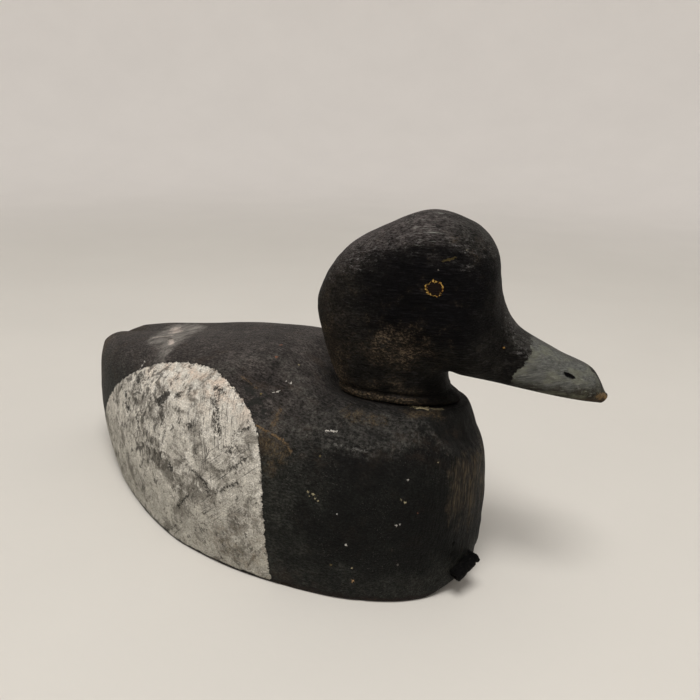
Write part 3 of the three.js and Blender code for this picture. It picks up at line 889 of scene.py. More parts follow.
class Finish:
    """One procedural material, with its sizes in mm in a frame that may be turned about +Z."""

    def __init__(self, name, origin=(0, 0, 0), turn=0.0):
        self.material = bpy.data.materials.new(name)
        self.material.use_nodes = True
        self.tree = self.material.node_tree
        self.tree.nodes.clear()
        coordinates = self.add("TexCoord").outputs["Object"]
        mapping = self.add("Mapping", {"Vector": coordinates}, vector_type="TEXTURE")
        mapping.inputs["Location"].default_value = [v * MM for v in origin]
        mapping.inputs["Rotation"].default_value = (0, 0, turn)
        mapping.inputs["Scale"].default_value = (MM, MM, MM)
        self.place = mapping.outputs["Vector"]
        axes = self.add("SeparateXYZ", {0: self.place})
        self.x, self.y, self.z = axes.outputs
        facing = self.add("SeparateXYZ", {0: self.add("NewGeometry").outputs["Normal"]})
        self.facing_up = facing.outputs[2]

    def add(self, kind, inputs=None, **settings):
        """New node; an input is another node's output, a plain value or the name of a tone."""
        node = self.tree.nodes.new("ShaderNode" + kind)
        for key, value in settings.items():
            setattr(node, key, value)
        for key, value in (inputs or {}).items():
            if isinstance(value, bpy.types.NodeSocket):
                self.tree.links.new(value, node.inputs[key])
            else:
                node.inputs[key].default_value = tone(value) if isinstance(value, str) else value
        return node

    def math(self, operation, a, b=0.0):
        return self.add("Math", {0: a, 1: b}, operation=operation).outputs[0]

    def absolute(self, value):
        return self.math("ABSOLUTE", value)

    def total(self, first, *others):
        for other in others:
            first = self.math("ADD", first, other)
        return first

    def times(self, first, *others):
        for other in others:
            first = self.math("MULTIPLY", first, other)
        return first

    def highest(self, first, *others):
        for other in others:
            first = self.math("MAXIMUM", first, other)
        return first

    def rest_of(self, share):
        return self.math("SUBTRACT", 1.0, share)

    def value(self, name):
        return self.add("Attribute", attribute_name=name).outputs["Fac"]

    def combined(self, x, y, z):
        return self.add("CombineXYZ", {0: x, 1: y, 2: z}).outputs[0]

    def noise(self, size, stretch=(1, 1, 1), detail=3.0, roughness=0.55, shift=0.0, warp=0.0, tilt=None,
              place=None):
        """Cloudy noise about 0.5 with features of the size given, drawn out by stretch."""
        place = place or self.place
        if tilt is not None:
            place = self.add("Mapping", {"Vector": place, "Rotation": tilt}).outputs[0]
        scale = [1 / (size * s) for s in stretch]
        moved = (shift, shift / 2, -shift)
        drawn = self.add("Mapping", {"Vector": place, "Scale": scale, "Location": moved})
        inputs = {"Vector": drawn.outputs[0], "Scale": 1.0, "Detail": detail, "Roughness": roughness,
                  "Distortion": warp}
        return self.add("TexNoise", inputs).outputs[0]

    def fade(self, value, start, end):
        """0 up to start, 1 from end on, smooth between."""
        inputs = {0: value, 1: start, 2: end, 3: 0.0, 4: 1.0}
        return self.add("MapRange", inputs, interpolation_type="SMOOTHSTEP").outputs[0]

    def scale(self, value, low, high, start=0.3, end=0.7):
        """Evenly from low to high as the value goes from start to end."""
        return self.add("MapRange", {0: value, 1: start, 2: end, 3: low, 4: high}).outputs[0]

    def rough(self, value, amount, size, **noise):
        """The value made uneven by noise of up to the amount either way."""
        return self.total(value, self.scale(self.noise(size, **noise), -amount, amount))

    def blend(self, share, under, over):
        return self.add("Mix", {0: share, 6: under, 7: over}, data_type="RGBA").outputs[2]

    def laid(self, under, over, *shares):
        """One colour laid over another, as strong as the shares multiplied."""
        return self.blend(self.times(*shares), under, over)

    def patchy(self, under, over, strength, limits, size, **noise):
        """One colour over another in soft patches, where noise passes from one limit to the other."""
        return self.laid(under, over, self.fade(self.noise(size, **noise), *limits), strength)

    def tinted(self, colour, brightness):
        """The colour made brighter or darker by a number about 1."""
        if isinstance(colour, str):
            colour = tone(colour)[:3]
        return self.add("VectorMath", {0: colour, 3: brightness}, operation="SCALE").outputs[0]

    def mottled(self, colour, darkest, brightest, limits, noise):
        """The colour tinted by noise between two limits."""
        return self.tinted(colour, self.scale(noise, darkest, brightest, *limits))

    def vector(self, operation, a, b):
        node = self.add("VectorMath", {0: a, 1: b}, operation=operation)
        return node.outputs["Value"] if operation in ("DISTANCE", "DOT_PRODUCT") else node.outputs[0]

    def spot(self, at, radius, uneven=0.0):
        """1 within a small ball round a point, fading out at its rim."""
        away = self.vector("DISTANCE", self.place, at)
        if uneven:
            away = self.rough(away, uneven, radius * SPOT_RIM_SIZE, **RIM_NOISE)
        return self.fade(away, radius, radius * FULL_SHARE)

    def stroke(self, start, end, half_width, wobble=0.0):
        """1 along a straight scratch between two points."""
        run = np.subtract(end, start)
        from_start = self.vector("SUBTRACT", self.place, start)
        share = self.vector("DOT_PRODUCT", from_start, tuple(run / (run @ run)))
        share = self.math("MINIMUM", self.math("MAXIMUM", share, 0.0), 1.0)
        nearest = self.add("VectorMath", {0: tuple(run), 3: share}, operation="SCALE").outputs[0]
        away = self.vector("DISTANCE", from_start, nearest)
        if wobble:
            away = self.rough(away, wobble, STROKE_RIM_SIZE, **RIM_NOISE)
        return self.fade(away, half_width, half_width * FULL_SHARE)

    def finish(self, colour, roughness, height_mm, specular):
        """Joins the colour, roughness and height to the shader."""
        bump = self.add("Bump", {"Height": height_mm, "Distance": MM, "Strength": 1.0})
        shader = self.add("BsdfPrincipled", {"Base Color": colour, "Roughness": roughness,
                                             "Normal": bump.outputs["Normal"]})
        shader.inputs["Specular IOR Level"].default_value = specular
        self.add("OutputMaterial", {"Surface": shader.outputs[0]})
        return self.material


def flank_scratches(make, girth):
    """Thin dark scratches in bundles at two slants across the patch."""
    flat = make.combined(make.x, girth, 0)
    steep = make.noise(0.7, stretch=(1, 22, 1), detail=2, shift=2, tilt=(0, 0, -0.32), place=flat)
    slant = make.noise(0.7, stretch=(26, 1, 1), detail=2, shift=5, tilt=(0, 0, -0.75), place=flat)
    return make.highest(
        make.times(make.fade(steep, 0.56, 0.64), make.spot(STEEP_SCRATCHES_AT, 30, uneven=12)),
        make.times(make.fade(slant, 0.58, 0.66), make.spot(SLANT_SCRATCHES_AT, 28, uneven=12)),
        make.times(make.fade(slant, 0.64, 0.7), make.fade(make.noise(15, shift=11), 0.5, 0.6)),
    )


def flank_dirt(make, girth):
    """The patch's off-white with its warm, pale, brown and dirty places, and the small ones of these."""
    colour = make.blend(make.fade(girth, 5, 90), "patch low", "patch high")
    colour = make.mottled(colour, 0.8, 1.16, (0.34, 0.64), make.noise(15, detail=5, roughness=0.6))
    high_up = make.times(make.fade(girth, 76, 103), 0.6)
    colour = make.patchy(colour, "patch warm", high_up, (0.4, 0.58), 8, detail=4, shift=4)
    colour = make.patchy(colour, "patch dirt", 0.74, (0.49, 0.62), 16, detail=8, roughness=0.7, shift=3,
                         warp=0.7)
    smudge = make.rough(make.value("smudge_mm"), 8, 12, detail=8, roughness=0.7, shift=8, warp=0.5)
    colour = make.laid(colour, "patch smudge", make.fade(smudge, -5, 5), 0.66)
    small = make.noise(4.5, detail=7, roughness=0.76, shift=6, warp=0.4)
    colour = make.laid(colour, "patch smudge", make.fade(small, 0.52, 0.65), 0.68)
    upwards = make.scale(girth, 0.3, 0.8, 15, 50)
    colour = make.patchy(colour, "patch pale", upwards, (0.5, 0.62), 7, detail=8, roughness=0.74, shift=12,
                         warp=0.6)
    blots = make.noise(4, stretch=(1, 1, 1.3), detail=7, roughness=0.72, shift=19, warp=0.5)
    either_side = make.combined(make.x, make.absolute(make.y), make.z)
    from_blots = make.vector("DISTANCE", either_side, BLOTS_AT)
    most = make.fade(make.rough(from_blots, 16, 20, detail=4), 46, 18)
    blots = make.fade(make.total(blots, make.times(most, 0.075)), 0.565, 0.63)
    colour = make.laid(colour, "patch blot", blots, 0.74)
    low_front = make.times(make.fade(girth, 56, 18), make.fade(make.x, 0, 50), 0.4)
    colour = make.patchy(colour, "patch brown", low_front, (0.46, 0.64), 6, detail=7, roughness=0.74,
                         shift=21)
    return colour, small


def flank_paint(make, base_height):
    """Chipped and dirty off-white paint of the flanks: colour, share, height and its edge."""
    girth = make.value("girth")
    inside = make.value("patch_mm")
    colour, small = flank_dirt(make, girth)
    colour = make.laid(colour, "patch scratch", flank_scratches(make, girth), 0.72)
    grit = make.noise(0.8, detail=4, roughness=0.75, shift=16)
    colour = make.mottled(colour, 0.6, 1.28, (0.36, 0.64), grit)

    chip = make.noise(3.2, detail=5, roughness=0.68, shift=15)
    near_edge = make.times(make.fade(inside, 10, 0), 0.03)
    marks = make.rough(make.value("dark_mm"), 2.6, 1.3, detail=6, roughness=0.8)
    chips = make.highest(make.fade(make.total(chip, near_edge), 0.67, 0.7), make.fade(marks, -0.3, 0.5))
    colour = make.laid(colour, "patch chip", chips, 0.88)

    edge = make.rough(inside, 0.9, 3.4, detail=3, shift=9)
    edge = make.rough(edge, 0.45, 0.9, detail=3, shift=7)
    # The patch stops just short of the underside, so the dark band there shows: bare edge and painted
    # contact shade
    foot = make.fade(make.rough(make.z, 0.7, 7, detail=4, shift=13), 1.4, 2.4)
    share = make.times(make.fade(edge, -0.3, 0.3), foot)
    height = make.total(
        base_height,
        make.times(share, 0.12),
        make.times(chips, share, -0.1),
        make.times(make.scale(small, 0.05, -0.05), share),
    )
    return colour, share, height, edge


def body_black(make):
    """Old black paint: greyer on top, partly dust and partly painted sheen from above, blackest on the
    breast, dull grey low down, brown at the tail.
    """
    # Upward-facing surfaces get the lighter tones: dust, and painted sheen where light falls from above
    up = make.fade(make.facing_up, 0.05, 0.9)
    sideways = make.rest_of(up)
    top = make.blend(make.fade(make.x, 42, 98), "back", "top of breast")
    colour = make.blend(up, "side", top)
    on_breast = make.rough(make.x, 16, 24, detail=5, shift=2)
    blackest = make.times(make.fade(on_breast, 74, 98), make.fade(make.z, 94, 76), sideways)
    colour = make.laid(colour, "breast", blackest, 0.94)
    # Painted shade on the breast's top, under the bill and chin
    colour = make.laid(colour, "painted shade under bill", make.fade(make.x, 120, 133), make.fade(make.z, 70, 80), 0.85)
    # Painted shade just below the shoulder crease, where the knife flats end
    facet = make.value("facet_mm")
    painted_shade_under_crease = make.times(make.fade(facet, -9, -3), make.fade(facet, 1, -1))
    where = make.times(make.fade(make.z, 88, 80), make.fade(make.x, 84, 108))
    colour = make.laid(colour, "painted shade under crease", painted_shade_under_crease, where, 0.6)
    low = make.fade(make.rough(make.z, 9, 16, detail=5, shift=6), 28, 12)
    colour = make.laid(colour, "low side", low, sideways, 0.7)
    tail = make.fade(make.rough(make.x, 14, 18, detail=5, shift=4), -104, -142)
    return make.laid(colour, "tail", tail, 0.85), blackest


def body_wear(make, colour, blackest):
    """Brush lines, mottling, grey scuffs, scratches and brown stains in the black paint."""
    cloud = make.noise(26, detail=4)
    colour = make.mottled(colour, 0.7, 1.32, (0.3, 0.7), cloud)
    strokes = make.noise(1.2, stretch=(22, 1, 1), detail=4, roughness=0.65)
    colour = make.mottled(colour, 0.64, 1.4, (0.36, 0.64), strokes)
    mottle = make.noise(6, detail=8, roughness=0.76, shift=5)
    colour = make.mottled(colour, 0.35, 1.75, (0.35, 0.67), mottle)
    grit = make.noise(0.9, stretch=(1.8, 1, 1), detail=3, roughness=0.7, shift=17)
    colour = make.mottled(colour, 0.3, 1.85, (0.37, 0.65), grit)
    spared = make.scale(blackest, 1, 0.25, 0, 1)
    colour = make.patchy(colour, "brown wear", make.times(spared, 0.32), (0.52, 0.7), 15,
                         stretch=(1.6, 1, 1), detail=7, roughness=0.74, shift=20)
    colour = make.patchy(colour, "grey scuff", make.times(spared, 0.22), (0.56, 0.74), 7,
                         stretch=(1.5, 1, 1), detail=8, roughness=0.84, shift=9)
    # Light line along the shoulder crease: rubbed paint, and a painted highlight on the edge
    crease = make.fade(make.absolute(make.rough(make.value("facet_mm"), 1.2, 8, detail=5)), 2.6, 0.2)
    crease = make.times(crease, make.fade(make.absolute(make.y), 10, 18), 0.42)
    colour = make.patchy(colour, "rubbed crease and painted highlight", crease, (0.42, 0.7), 2, detail=6, roughness=0.82,
                         shift=28)
    scratch = make.noise(0.42, stretch=(46, 1, 1), detail=1, shift=3, tilt=(0, 0, 0.12))
    scratch = make.times(make.fade(scratch, 0.66, 0.73), make.fade(cloud, 0.42, 0.6))
    return make.laid(colour, "grey scuff", scratch, 0.4), mottle, scratch


def bare_wood(make, colour):
    """Brown wood showing along the breast's front strip, the tail and the underside's edge, with a painted
    contact shade along the foot.
    """
    ridges = make.noise(1.1, stretch=(1, 1, 8), detail=3, roughness=0.6, shift=40, tilt=(0.16, 0, 0))
    ridged = make.fade(make.rough(make.x, 5, 12, detail=4, shift=27), 130, 143)
    light = make.times(make.scale(ridges, -0.3, 0.5, 0.38, 0.62), ridged)
    colour = make.tinted(colour, make.total(light, 1))
    rubbed = make.rough(make.value("bare"), 0.6, 7, stretch=(1, 1, 2), detail=7, roughness=0.74)
    on_tops = make.scale(ridges, 0.1, 0.85, 0.44, 0.62)
    colour = make.laid(colour, "bare wood", make.fade(rubbed, 0.3, 1.0), on_tops, 0.78)
    # Dark maroon band along the foot: bare wood in part, and painted contact shade
    under = make.fade(make.rough(make.z, 1.0, 5, detail=4), 4.6, 2.4)
    colour = make.laid(colour, "bottom edge", under, 0.75)
    return colour, make.times(make.scale(ridges, -0.25, 0.25, 0.36, 0.64), ridged)


# Cream places in the rump's smear: two ends and a half width
SMEAR_STROKES = [
    ((-82, 5, 90.8), (-66, -7, 93.8), 4.4),
    ((-48, -26, 98), (-40, -32, 98.7), 2.0),
    ((-70, -22, 94), (-58, -17, 96.4), 1.4),
]


def rump_smear(make, colour):
    """Pale grey-brown smear across the rump, with cream spots and a dark gash in it."""
    depth = make.rough(make.value("smear_mm"), 4, 8, detail=8, roughness=0.74, warp=0.6)
    thin = make.noise(6, stretch=(1, 2, 1), detail=7, roughness=0.78, shift=4)
    thin = make.scale(thin, 0.1, 0.9, 0.38, 0.64)
    colour = make.laid(colour, "smear", make.fade(depth, -3.5, 3), thin)
    for start, end, half_width in SMEAR_STROKES:
        cream = make.stroke(start, end, half_width, wobble=0.8 * half_width)
        colour = make.laid(colour, "smear cream", cream, make.scale(thin, 0.25, 0.8, 0.2, 0.9))
    gash = make.stroke(*RUMP_GASH, wobble=0.8)
    return make.laid(colour, "smear gash", gash, 0.6)


# Scratches and brush marks on the body: two ends, a half width, a tone and a strength
BODY_STROKES = [
    ((54.7, -56.6, 82.5), (71.1, -54.4, 78.5), 0.5, "light brown scratch", 0.6),
    ((71.1, -54.4, 78.5), (76.9, -54.9, 74), 0.5, "brown scratch", 0.5),
    ((31.3, -43.6, 99.2), (43.5, -44.2, 95.8), 0.5, "dull scratch", 0.5),
    ((61.8, -46.4, 89.3), (63.3, -54, 82.5), 0.8, "dark brown scratch", 0.5),
    ((89.4, -42.4, 84.7), (93.6, -40.3, 85.2), 0.46, "white", 0.95),
    ((52.8, -42.1, 95), (55.5, -40, 95.9), 0.36, "white", 0.75),
    ((96, -44.5, 80.2), (112, -40, 80), 0.5, "grey scratch", 0.5),
    ((-49.4, -48.2, 85.4), (-49.2, -45.4, 88.4), 0.6, "white", 1.0),
    ((117.5, -8.6, 95), (124, -6.6, 95), 1.5, "cream", 0.95),
    ((124, -6.6, 95), (130.5, -3.2, 95), 0.9, "old cream", 0.7),
]
# Flecks and spots of paint on the body: a place, a radius and a tone
BODY_SPECKS = [
    ((89.7, -56.9, 57.3), 0.7, "cream"),
    ((92.6, -56.5, 56.8), 0.9, "cream"),
    ((93.8, -56.2, 54.8), 0.7, "cream"),
    ((95.3, -55.8, 54), 0.6, "cream"),
    ((90.6, -56.8, 55.4), 0.45, "cream"),
    ((91.4, -56.7, 58.2), 0.45, "cream"),
    ((94.9, -55.8, 56.6), 0.5, "yellow"),
    ((131, -37.1, 59.6), 0.6, "cream"),
    ((132.6, -36, 58.3), 0.7, "cream"),
    ((105.1, -53.2, 49.3), 0.5, "white"),
    ((130.4, -39.4, 46.4), 0.7, "white"),
    ((132, -38.4, 47), 0.6, "white"),
    ((110.4, -52.3, 33.5), 0.8, "white"),
    ((103.7, -55.1, 20.4), 0.8, "yellow"),
    ((113.2, -50.4, 20.4), 0.6, "cream"),
    ((132.1, -38.1, 24), 0.8, "grey scuff"),
    ((113.6, -49.8, 12.6), 1.0, "tan spot"),
    ((132.1, -33.7, 69.3), 0.6, "white"),
    ((91.3, -49.9, 74.7), 0.6, "yellow"),
    ((81.2, -48, 82.1), 0.7, "grey scuff"),
    ((58.3, -34.2, 99.5), 0.9, "white"),
    ((55.4, -34.6, 100), 0.5, "white"),
    ((53.7, -22.6, 105.1), 0.7, "cream"),
    ((47.5, -45.3, 93.9), 0.9, "yellow"),
    ((41.6, -27.4, 108.1), 1.2, "orange"),
    ((34, -15.2, 110.1), 1.0, "orange"),
    ((138, -32.3, 52.9), 0.5, "orange"),
    ((141, -22, 77), 0.5, "cream"),
    ((131, -18.8, 90.7), 3.9, "dark spot"),
    ((40, -46.6, 95), 5.0, "shoulder spot"),
    ((47, -48.6, 91.4), 5.2, "shoulder edge spot"),
    ((54.4, -51.4, 87), 4.8, "shoulder edge spot"),
]
# Both are drawn with wavering rims, as shares of the half width or radius
STROKE_DRAWN = {"width": 1.3, "wobble": 1.6}
SPECK_DRAWN = {"radius": 0.78, "uneven": 0.8, "strength": 0.8}
# Flecks and spots on the head, in its own frame
HEAD_SPECKS = [
    ((22, -27.6, 72.5), 0.5, "grey fleck"),
    ((-18.3, -12.6, 77), 0.6, "yellow fleck"),
    ((33.8, -20.9, 81.3), 0.6, "green fleck"),
    ((54, -14.4, 34.9), 0.8, "tan fleck"),
    ((30, -24, 44), 0.4, "pale fleck"),
]


def body_marks(make, colour):
    """The scratches, brush marks and specks that are placed one by one, and the nail hole."""
    broken = make.fade(make.noise(1.4, detail=4, roughness=0.8, shift=26), 0.4, 0.56)
    for start, end, half_width, name, strength in BODY_STROKES:
        drawn, wobble = STROKE_DRAWN["width"] * half_width, STROKE_DRAWN["wobble"] * half_width
        scratch = make.stroke(start, end, drawn, wobble=wobble)
        colour = make.laid(colour, name, scratch, broken, strength)
    for at, radius, name in BODY_SPECKS:
        drawn, uneven_rim = SPECK_DRAWN["radius"] * radius, SPECK_DRAWN["uneven"] * radius
        colour = make.laid(colour, name, make.spot(at, drawn, uneven=uneven_rim), SPECK_DRAWN["strength"])
    return make.laid(colour, "nail hole", make.spot(NAIL_HOLE_AT, 1.4))


def body_finish():
    """Old charcoal-black paint along the grain, with the flanks' patches, wear, smears and specks."""
    make = Finish("black_paint")
    colour, blackest = body_black(make)
    colour, mottle, scratch = body_wear(make, colour, blackest)
    colour, ridges = bare_wood(make, colour)
    streaks = make.noise(0.9, stretch=(1, 1, 5), detail=5, roughness=0.75, shift=24)
    stain = make.fade(make.rough(make.value("stain_mm"), 5, 4, detail=6, roughness=0.75), -2.5, 3)
    colour = make.laid(colour, "stain", stain, make.scale(streaks, 0.06, 0.7, 0.46, 0.64))
    colour = rump_smear(make, colour)
    grain = make.noise(0.9, stretch=(30, 1, 1), detail=3, roughness=0.6, shift=2)
    pores = make.noise(0.7, stretch=(3, 1, 1), detail=4, roughness=0.7, shift=6)
    height = make.total(
        make.scale(grain, -0.1, 0.1),
        make.scale(pores, -0.13, 0.13),
        ridges,
        make.times(scratch, -0.05),
        make.scale(mottle, -0.12, 0.12),
    )
    white, share, height, edge = flank_paint(make, height)
    colour = make.laid(colour, "patch rim", make.fade(edge, -1.5, -0.2), 0.6)
    colour = make.blend(share, colour, white)
    colour = body_marks(make, colour)
    roughness = make.total(make.scale(mottle, 0.5, 0.7), make.times(share, 0.14))
    return make.finish(colour, roughness, height, specular=0.1)


def bill_paint(make):
    """Worn grey bill with lengthwise strokes, a dark nail, tan corners, a brownish lower edge and painted
    shade low at its root.
    """
    strokes = make.noise(0.8, stretch=(11, 1, 1), detail=4, roughness=0.65, shift=30, tilt=(0, 0.25, 0))
    low = make.fade(make.rough(make.z, 2, 6, detail=4, shift=36), 21, 14)
    colour = make.mottled(make.blend(low, "bill", "bill low"), 0.6, 1.36, (0.36, 0.64), strokes)
    colour = make.patchy(colour, "bill green", 0.4, (0.46, 0.64), 5, stretch=(2, 1, 1), detail=4, shift=33)
    colour = make.patchy(colour, "bill dark", 0.5, (0.54, 0.68), 3.4, stretch=(2, 1, 1), detail=5,
                         roughness=0.7, shift=35)
    colour = make.patchy(colour, "bill light", 0.4, (0.56, 0.7), 1.1, stretch=(5, 1, 1), detail=4,
                         roughness=0.7, shift=38)
    lower_edge = make.rough(make.z, 0.8, 2, stretch=(3, 1, 1), detail=4)
    colour = make.laid(colour, "bill brown", make.fade(lower_edge, 13.6, 11.2), 0.75)
    ridge = make.fade(make.absolute(make.y), 4.5, 1)
    colour = make.laid(colour, "bill ridge", ridge, make.fade(make.z, 18, 24), 0.35)
    # Painted shade low on the bill, next to the face
    from_face = make.rough(make.value("bill_mm"), 3, 4, detail=4, shift=39)
    colour = make.laid(colour, "painted shade at bill jaw", make.fade(from_face, 17, 2), make.fade(make.z, 22, 15), 0.8)
    nail = make.stroke(*BILL_NAIL, wobble=0.8)
    colour = make.laid(colour, "bill nail", nail, 0.85)
    for side in (-1, 1):
        start, end = ((x, side * y, z) for x, y, z in BILL_CORNER[:2])
        corner = make.stroke(start, end, BILL_CORNER[2], wobble=1.6)
        colour = make.laid(colour, "bill tan", corner, 0.5)
    return colour, strokes


def eye_ring(make, colour):
    """Thin broken ring of yellow dots round a brown-black eye, one on either side."""
    away = make.vector("DISTANCE", make.combined(make.x, 0, make.z), (EYE_AT[0], 0, EYE_AT[1]))
    away = make.rough(away, 0.8, 2.0, detail=3, shift=1)
    colour = make.laid(colour, "eye", make.fade(away, EYE_RADIUS, EYE_RADIUS - 0.8), 0.8)
    ring = make.fade(make.absolute(make.math("SUBTRACT", away, EYE_RADIUS)), 0.45, 0.12)
    broken = make.fade(make.noise(1.0, detail=4, roughness=0.8, shift=18), 0.45, 0.55)
    bright = make.fade(make.noise(1.0, shift=22), 0.4, 0.58)
    gold = make.blend(bright, "eye ring dull", "eye ring bright")
    return make.laid(colour, gold, ring, broken)


def nostril(make, colour):
    """Black wedge on either side of the bill, drawn out backwards by a faint grey shadow."""
    at_x, at_z = NOSTRIL["at"]
    along = make.math("SUBTRACT", make.x, at_x)
    up = make.math("SUBTRACT", make.z, at_z)
    across = make.math("SUBTRACT", up, make.times(along, NOSTRIL["slope"]))
    squares = [
        make.math("POWER", make.absolute(make.times(away, 1 / half)), 2)
        for away, half in ((along, NOSTRIL["half_length"]), (across, NOSTRIL["half_height"]))
    ]
    slit = make.rough(make.total(*squares), 0.3, 1.2, detail=3, roughness=0.6)
    tail = make.stroke(*NOSTRIL_TAIL, wobble=0.5)
    colour = make.laid(colour, "nostril tail", tail, 0.35)
    return make.laid(colour, "nostril", make.fade(slit, 1.15, 0.7), make.fade(make.x, 70, 75))


def head_black(make):
    """Grey-black crown, painted lighter on top as a highlight from above, over near-black sides, with fine
    lines, mottling and light rubbed places, partly painted sheen.
    """
    # Upward-facing surfaces take the crown's lighter tones: a painted highlight from above
    up = make.fade(make.rough(make.facing_up, 0.16, 7, detail=6, roughness=0.7), 0.24, 0.8)
    side = make.rest_of(up)
    crown = make.blend(make.fade(make.x, 14, 36), "crown", "brow")
    sides = make.blend(make.fade(make.x, -12, -34), "head side", "nape")
    colour = make.blend(up, sides, crown)
    from_face = make.vector("DISTANCE", make.combined(make.x, 0, make.z), (FACE_AT[0], 0, FACE_AT[1]))
    from_face = make.rough(from_face, 9, 16, detail=6, roughness=0.6)
    face = make.times(make.fade(from_face, 36, 22), side)
    colour = make.laid(colour, "face", face, 0.97)
    colour = make.mottled(colour, 0.7, 1.34, (0.3, 0.7), make.noise(12, detail=5))
    lines = make.noise(0.62, stretch=(15, 3, 1), detail=3, roughness=0.6, tilt=(0, 0.05, 0))
    lined = make.times(side, make.fade(make.z, 24, 46))
    colour = make.laid(colour, "head line", make.fade(lines, 0.54, 0.68), lined, 0.15)
    mottle = make.noise(4, stretch=(1.6, 1, 1), detail=8, roughness=0.76, shift=5)
    colour = make.mottled(colour, 0.35, 1.75, (0.34, 0.66), mottle)
    grit = make.noise(0.8, stretch=(2.4, 1, 1), detail=3, roughness=0.7, shift=11)
    colour = make.mottled(colour, 0.25, 1.9, (0.37, 0.65), grit)
    # Where the crown turns into the sides: rubbed paint and a painted sheen
    rub_and_sheen_band = make.times(up, side, 4)
    where = make.times(make.scale(rub_and_sheen_band, 0.12, 0.85, 0, 1), make.scale(face, 1.0, 0.15, 0, 1))
    colour = make.patchy(colour, "crown rub and painted sheen", where, (0.53, 0.66), 1.6, stretch=(3, 1, 1), detail=6,
                         roughness=0.84, shift=14)
    streaked = make.spot(CROWN_STREAKS_AT, 14, uneven=8)
    colour = make.laid(colour, "crown streak", streaked, make.fade(lines, 0.58, 0.66), 0.7)
    return colour, lines, mottle, grit


def neck_wear(make, colour):
    """Brown wear on the cheek and round the neck, the dark of the throat, and painted shade in the groove.
    """
    worn = make.rough(make.value("bare"), 0.42, 11, detail=7, roughness=0.72, shift=2)
    worn = make.fade(worn, 0.08, 0.9)
    colour = make.laid(colour, "worn paint", worn, 0.3)
    colour = make.patchy(colour, "worn wood", make.times(worn, 0.92), (0.46, 0.64), 0.95,
                         stretch=(1.5, 1, 1), detail=4, roughness=0.75, shift=8)
    colour = make.laid(colour, "throat", make.fade(make.x, 8, 22), make.fade(make.z, 20, 12), 0.95)
    # Painted shade in the groove over the neck's roll
    return make.laid(colour, "groove", make.fade(make.z, 4.2, 5.0), make.fade(make.z, 8.2, 6.4), 0.6)


def head_finish():
    """Black paint over raised grain, worn brown round the neck, with painted eyes and a grey bill."""
    make = Finish("head_paint", origin=(HEAD_X, 0, SEAT_Z + PIECE_GAP), turn=HEAD_TURN)
    colour, lines, mottle, grit = head_black(make)
    colour = eye_ring(make, neck_wear(make, colour))

    bill, strokes = bill_paint(make)
    edge = make.rough(make.value("bill_mm"), 0.9, 2.6, detail=3, shift=16)
    edge = make.rough(edge, 0.7, 0.9, detail=3, roughness=0.65, shift=17)
    on_bill = make.fade(edge, -0.5, 0.4)
    colour = nostril(make, make.blend(on_bill, colour, bill))
    for at, radius, name in HEAD_SPECKS:
        colour = make.laid(colour, name, make.spot(at, radius, uneven=0.4 * radius))
    yellow = make.stroke(*OVER_EYE, wobble=0.6)
    colour = make.laid(colour, "yellow stroke", yellow, 0.32)

    height = make.total(
        make.times(make.scale(lines, -0.28, 0.28), make.rest_of(make.times(on_bill, 0.9))),
        make.scale(mottle, -0.12, 0.12),
        make.times(make.scale(grit, -0.08, 0.08), make.rest_of(make.times(on_bill, 0.7))),
        make.times(make.scale(strokes, -0.08, 0.08), on_bill),
    )
    return make.finish(colour, make.scale(mottle, 0.48, 0.68), height, specular=0.05)


def strap_finish():
    """Weathered black leather with a fine pebbled grain and greyer rubbed places."""
    make = Finish("black_leather")
    pebble = make.noise(0.7, detail=4, roughness=0.65)
    colour = make.mottled("leather", 0.4, 1.7, (0.3, 0.7), make.noise(1.2, detail=5, roughness=0.7))
    colour = make.patchy(colour, "leather rub", 0.26, (0.55, 0.7), 1.4, detail=4, shift=4)
    fine = make.noise(0.3, shift=2)
    height = make.total(make.scale(pebble, -0.1, 0.1), make.scale(fine, -0.04, 0.04))
    return make.finish(colour, make.scale(pebble, 0.5, 0.75), height, specular=0.06)


def floor_finish():
    """Pale warm paper, painted a little lighter far off where the lamp's light falls away."""
    make = Finish("pale_floor")
    cloud = make.noise(160, detail=4)
    fine = make.noise(6, detail=5, shift=3)
    from_centre = make.vector("DISTANCE", make.place, (0, 0, 0))
    # Painted lighter far off, where the lamp's light falls away
    colour = make.blend(make.fade(from_centre, 700, 1900), "floor", "far floor with painted light")
    colour = make.mottled(colour, 0.985, 1.015, (0.3, 0.7), cloud)
    return make.finish(colour, make.scale(cloud, 0.8, 0.86), make.scale(fine, -0.02, 0.02), specular=0.2)


# Studio


def add_floor():
    """Round floor whose rim curves up out of sight."""
    flat, rise, top, sides = 1500, 900, 1500, 96
    profile = [(flat * share, 0) for share in (0.15, 0.5, 0.8, 1)]
    for i in range(1, 13):
        angle = (math.pi / 2) * i / 12
        profile.append((flat + rise * math.sin(angle), rise * (1 - math.cos(angle))))
    profile.append((flat + rise, rise + top))
    angle = -2 * np.pi * np.arange(sides) / sides
    rings = np.array([[(r * math.cos(a), r * math.sin(a), z) for a in angle] for r, z in profile])
    points, faces = mesh_from_rings(rings, capped=False)
    centre = len(points)
    points = np.vstack([points, (0, 0, 0)])
    faces += [[centre, (i + 1) % sides, i] for i in range(sides)]
    floor = make_piece("studio_floor", points, faces)
    floor.data.materials.append(floor_finish())


# Place in mm; lens and sensor as on a camera
CAMERA = {"at": (280.26, -282.79, 233.05), "lens": 35.33, "sensor": 36}
CAMERA_AZIMUTH, CAMERA_ELEVATION, CAMERA_ROLL = (math.radians(a) for a in (36.56, 19.02, 1.72))


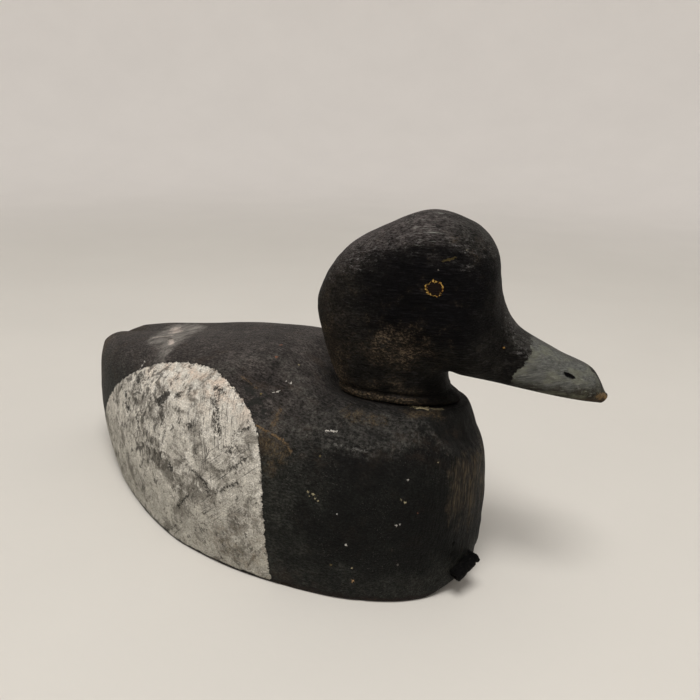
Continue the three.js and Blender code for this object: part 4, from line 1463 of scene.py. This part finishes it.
def add_camera():
    cos, sin = math.cos, math.sin
    back = Vector((sin(CAMERA_AZIMUTH) * cos(CAMERA_ELEVATION),
                   -cos(CAMERA_AZIMUTH) * cos(CAMERA_ELEVATION), sin(CAMERA_ELEVATION)))
    right = Vector((cos(CAMERA_AZIMUTH), sin(CAMERA_AZIMUTH), 0))
    up = back.cross(right)
    rolled_right = right * cos(CAMERA_ROLL) + up * sin(CAMERA_ROLL)
    rolled_up = up * cos(CAMERA_ROLL) - right * sin(CAMERA_ROLL)
    data = bpy.data.cameras.new("camera")
    data.lens = CAMERA["lens"]
    data.sensor_width = CAMERA["sensor"]
    data.clip_start = 0.01
    camera = bpy.data.objects.new("camera", data)
    turn = Matrix((rolled_right, rolled_up, back)).transposed().to_4x4()
    camera.matrix_world = Matrix.Translation(Vector(CAMERA["at"]) * MM) @ turn
    bpy.context.collection.objects.link(camera)
    bpy.context.scene.camera = camera


# Round light overhead and a little in front, in metres, and the soft light from all round
OVERHEAD = {"at": (0.4, -0.52, 1.85), "size": 0.9, "watts": 25.0, "colour": (1.0, 0.97, 0.93)}
AIM = (0, 0, 0.05)
ALL_ROUND = {"colour": (1.0, 0.975, 0.95, 1), "strength": 0.38}


def add_light(name, at, size, watts, colour):
    data = bpy.data.lights.new(name, "AREA")
    data.shape = "DISK"
    data.size = size
    data.energy = watts
    data.color = colour
    light = bpy.data.objects.new(name, data)
    light.location = at
    light.rotation_euler = (Vector(at) - Vector(AIM)).to_track_quat("Z", "Y").to_euler()
    bpy.context.collection.objects.link(light)


def add_lights():
    add_light("overhead", **OVERHEAD)
    world = bpy.data.worlds.new("studio_world")
    world.use_nodes = True
    background = world.node_tree.nodes["Background"]
    background.inputs["Color"].default_value = ALL_ROUND["colour"]
    background.inputs["Strength"].default_value = ALL_ROUND["strength"]
    bpy.context.scene.world = world
    bpy.context.scene.view_settings.view_transform = "Standard"


def dress(piece, node, material):
    piece.data.materials.append(material)
    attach(piece, "root")
    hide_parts(node)


add_camera()
add_lights()
add_floor()
body = build_body()
dress(body, "body", body_finish())
dress(build_head(), "head", head_finish())
dress(build_strap(body), "line_strap", strap_finish())
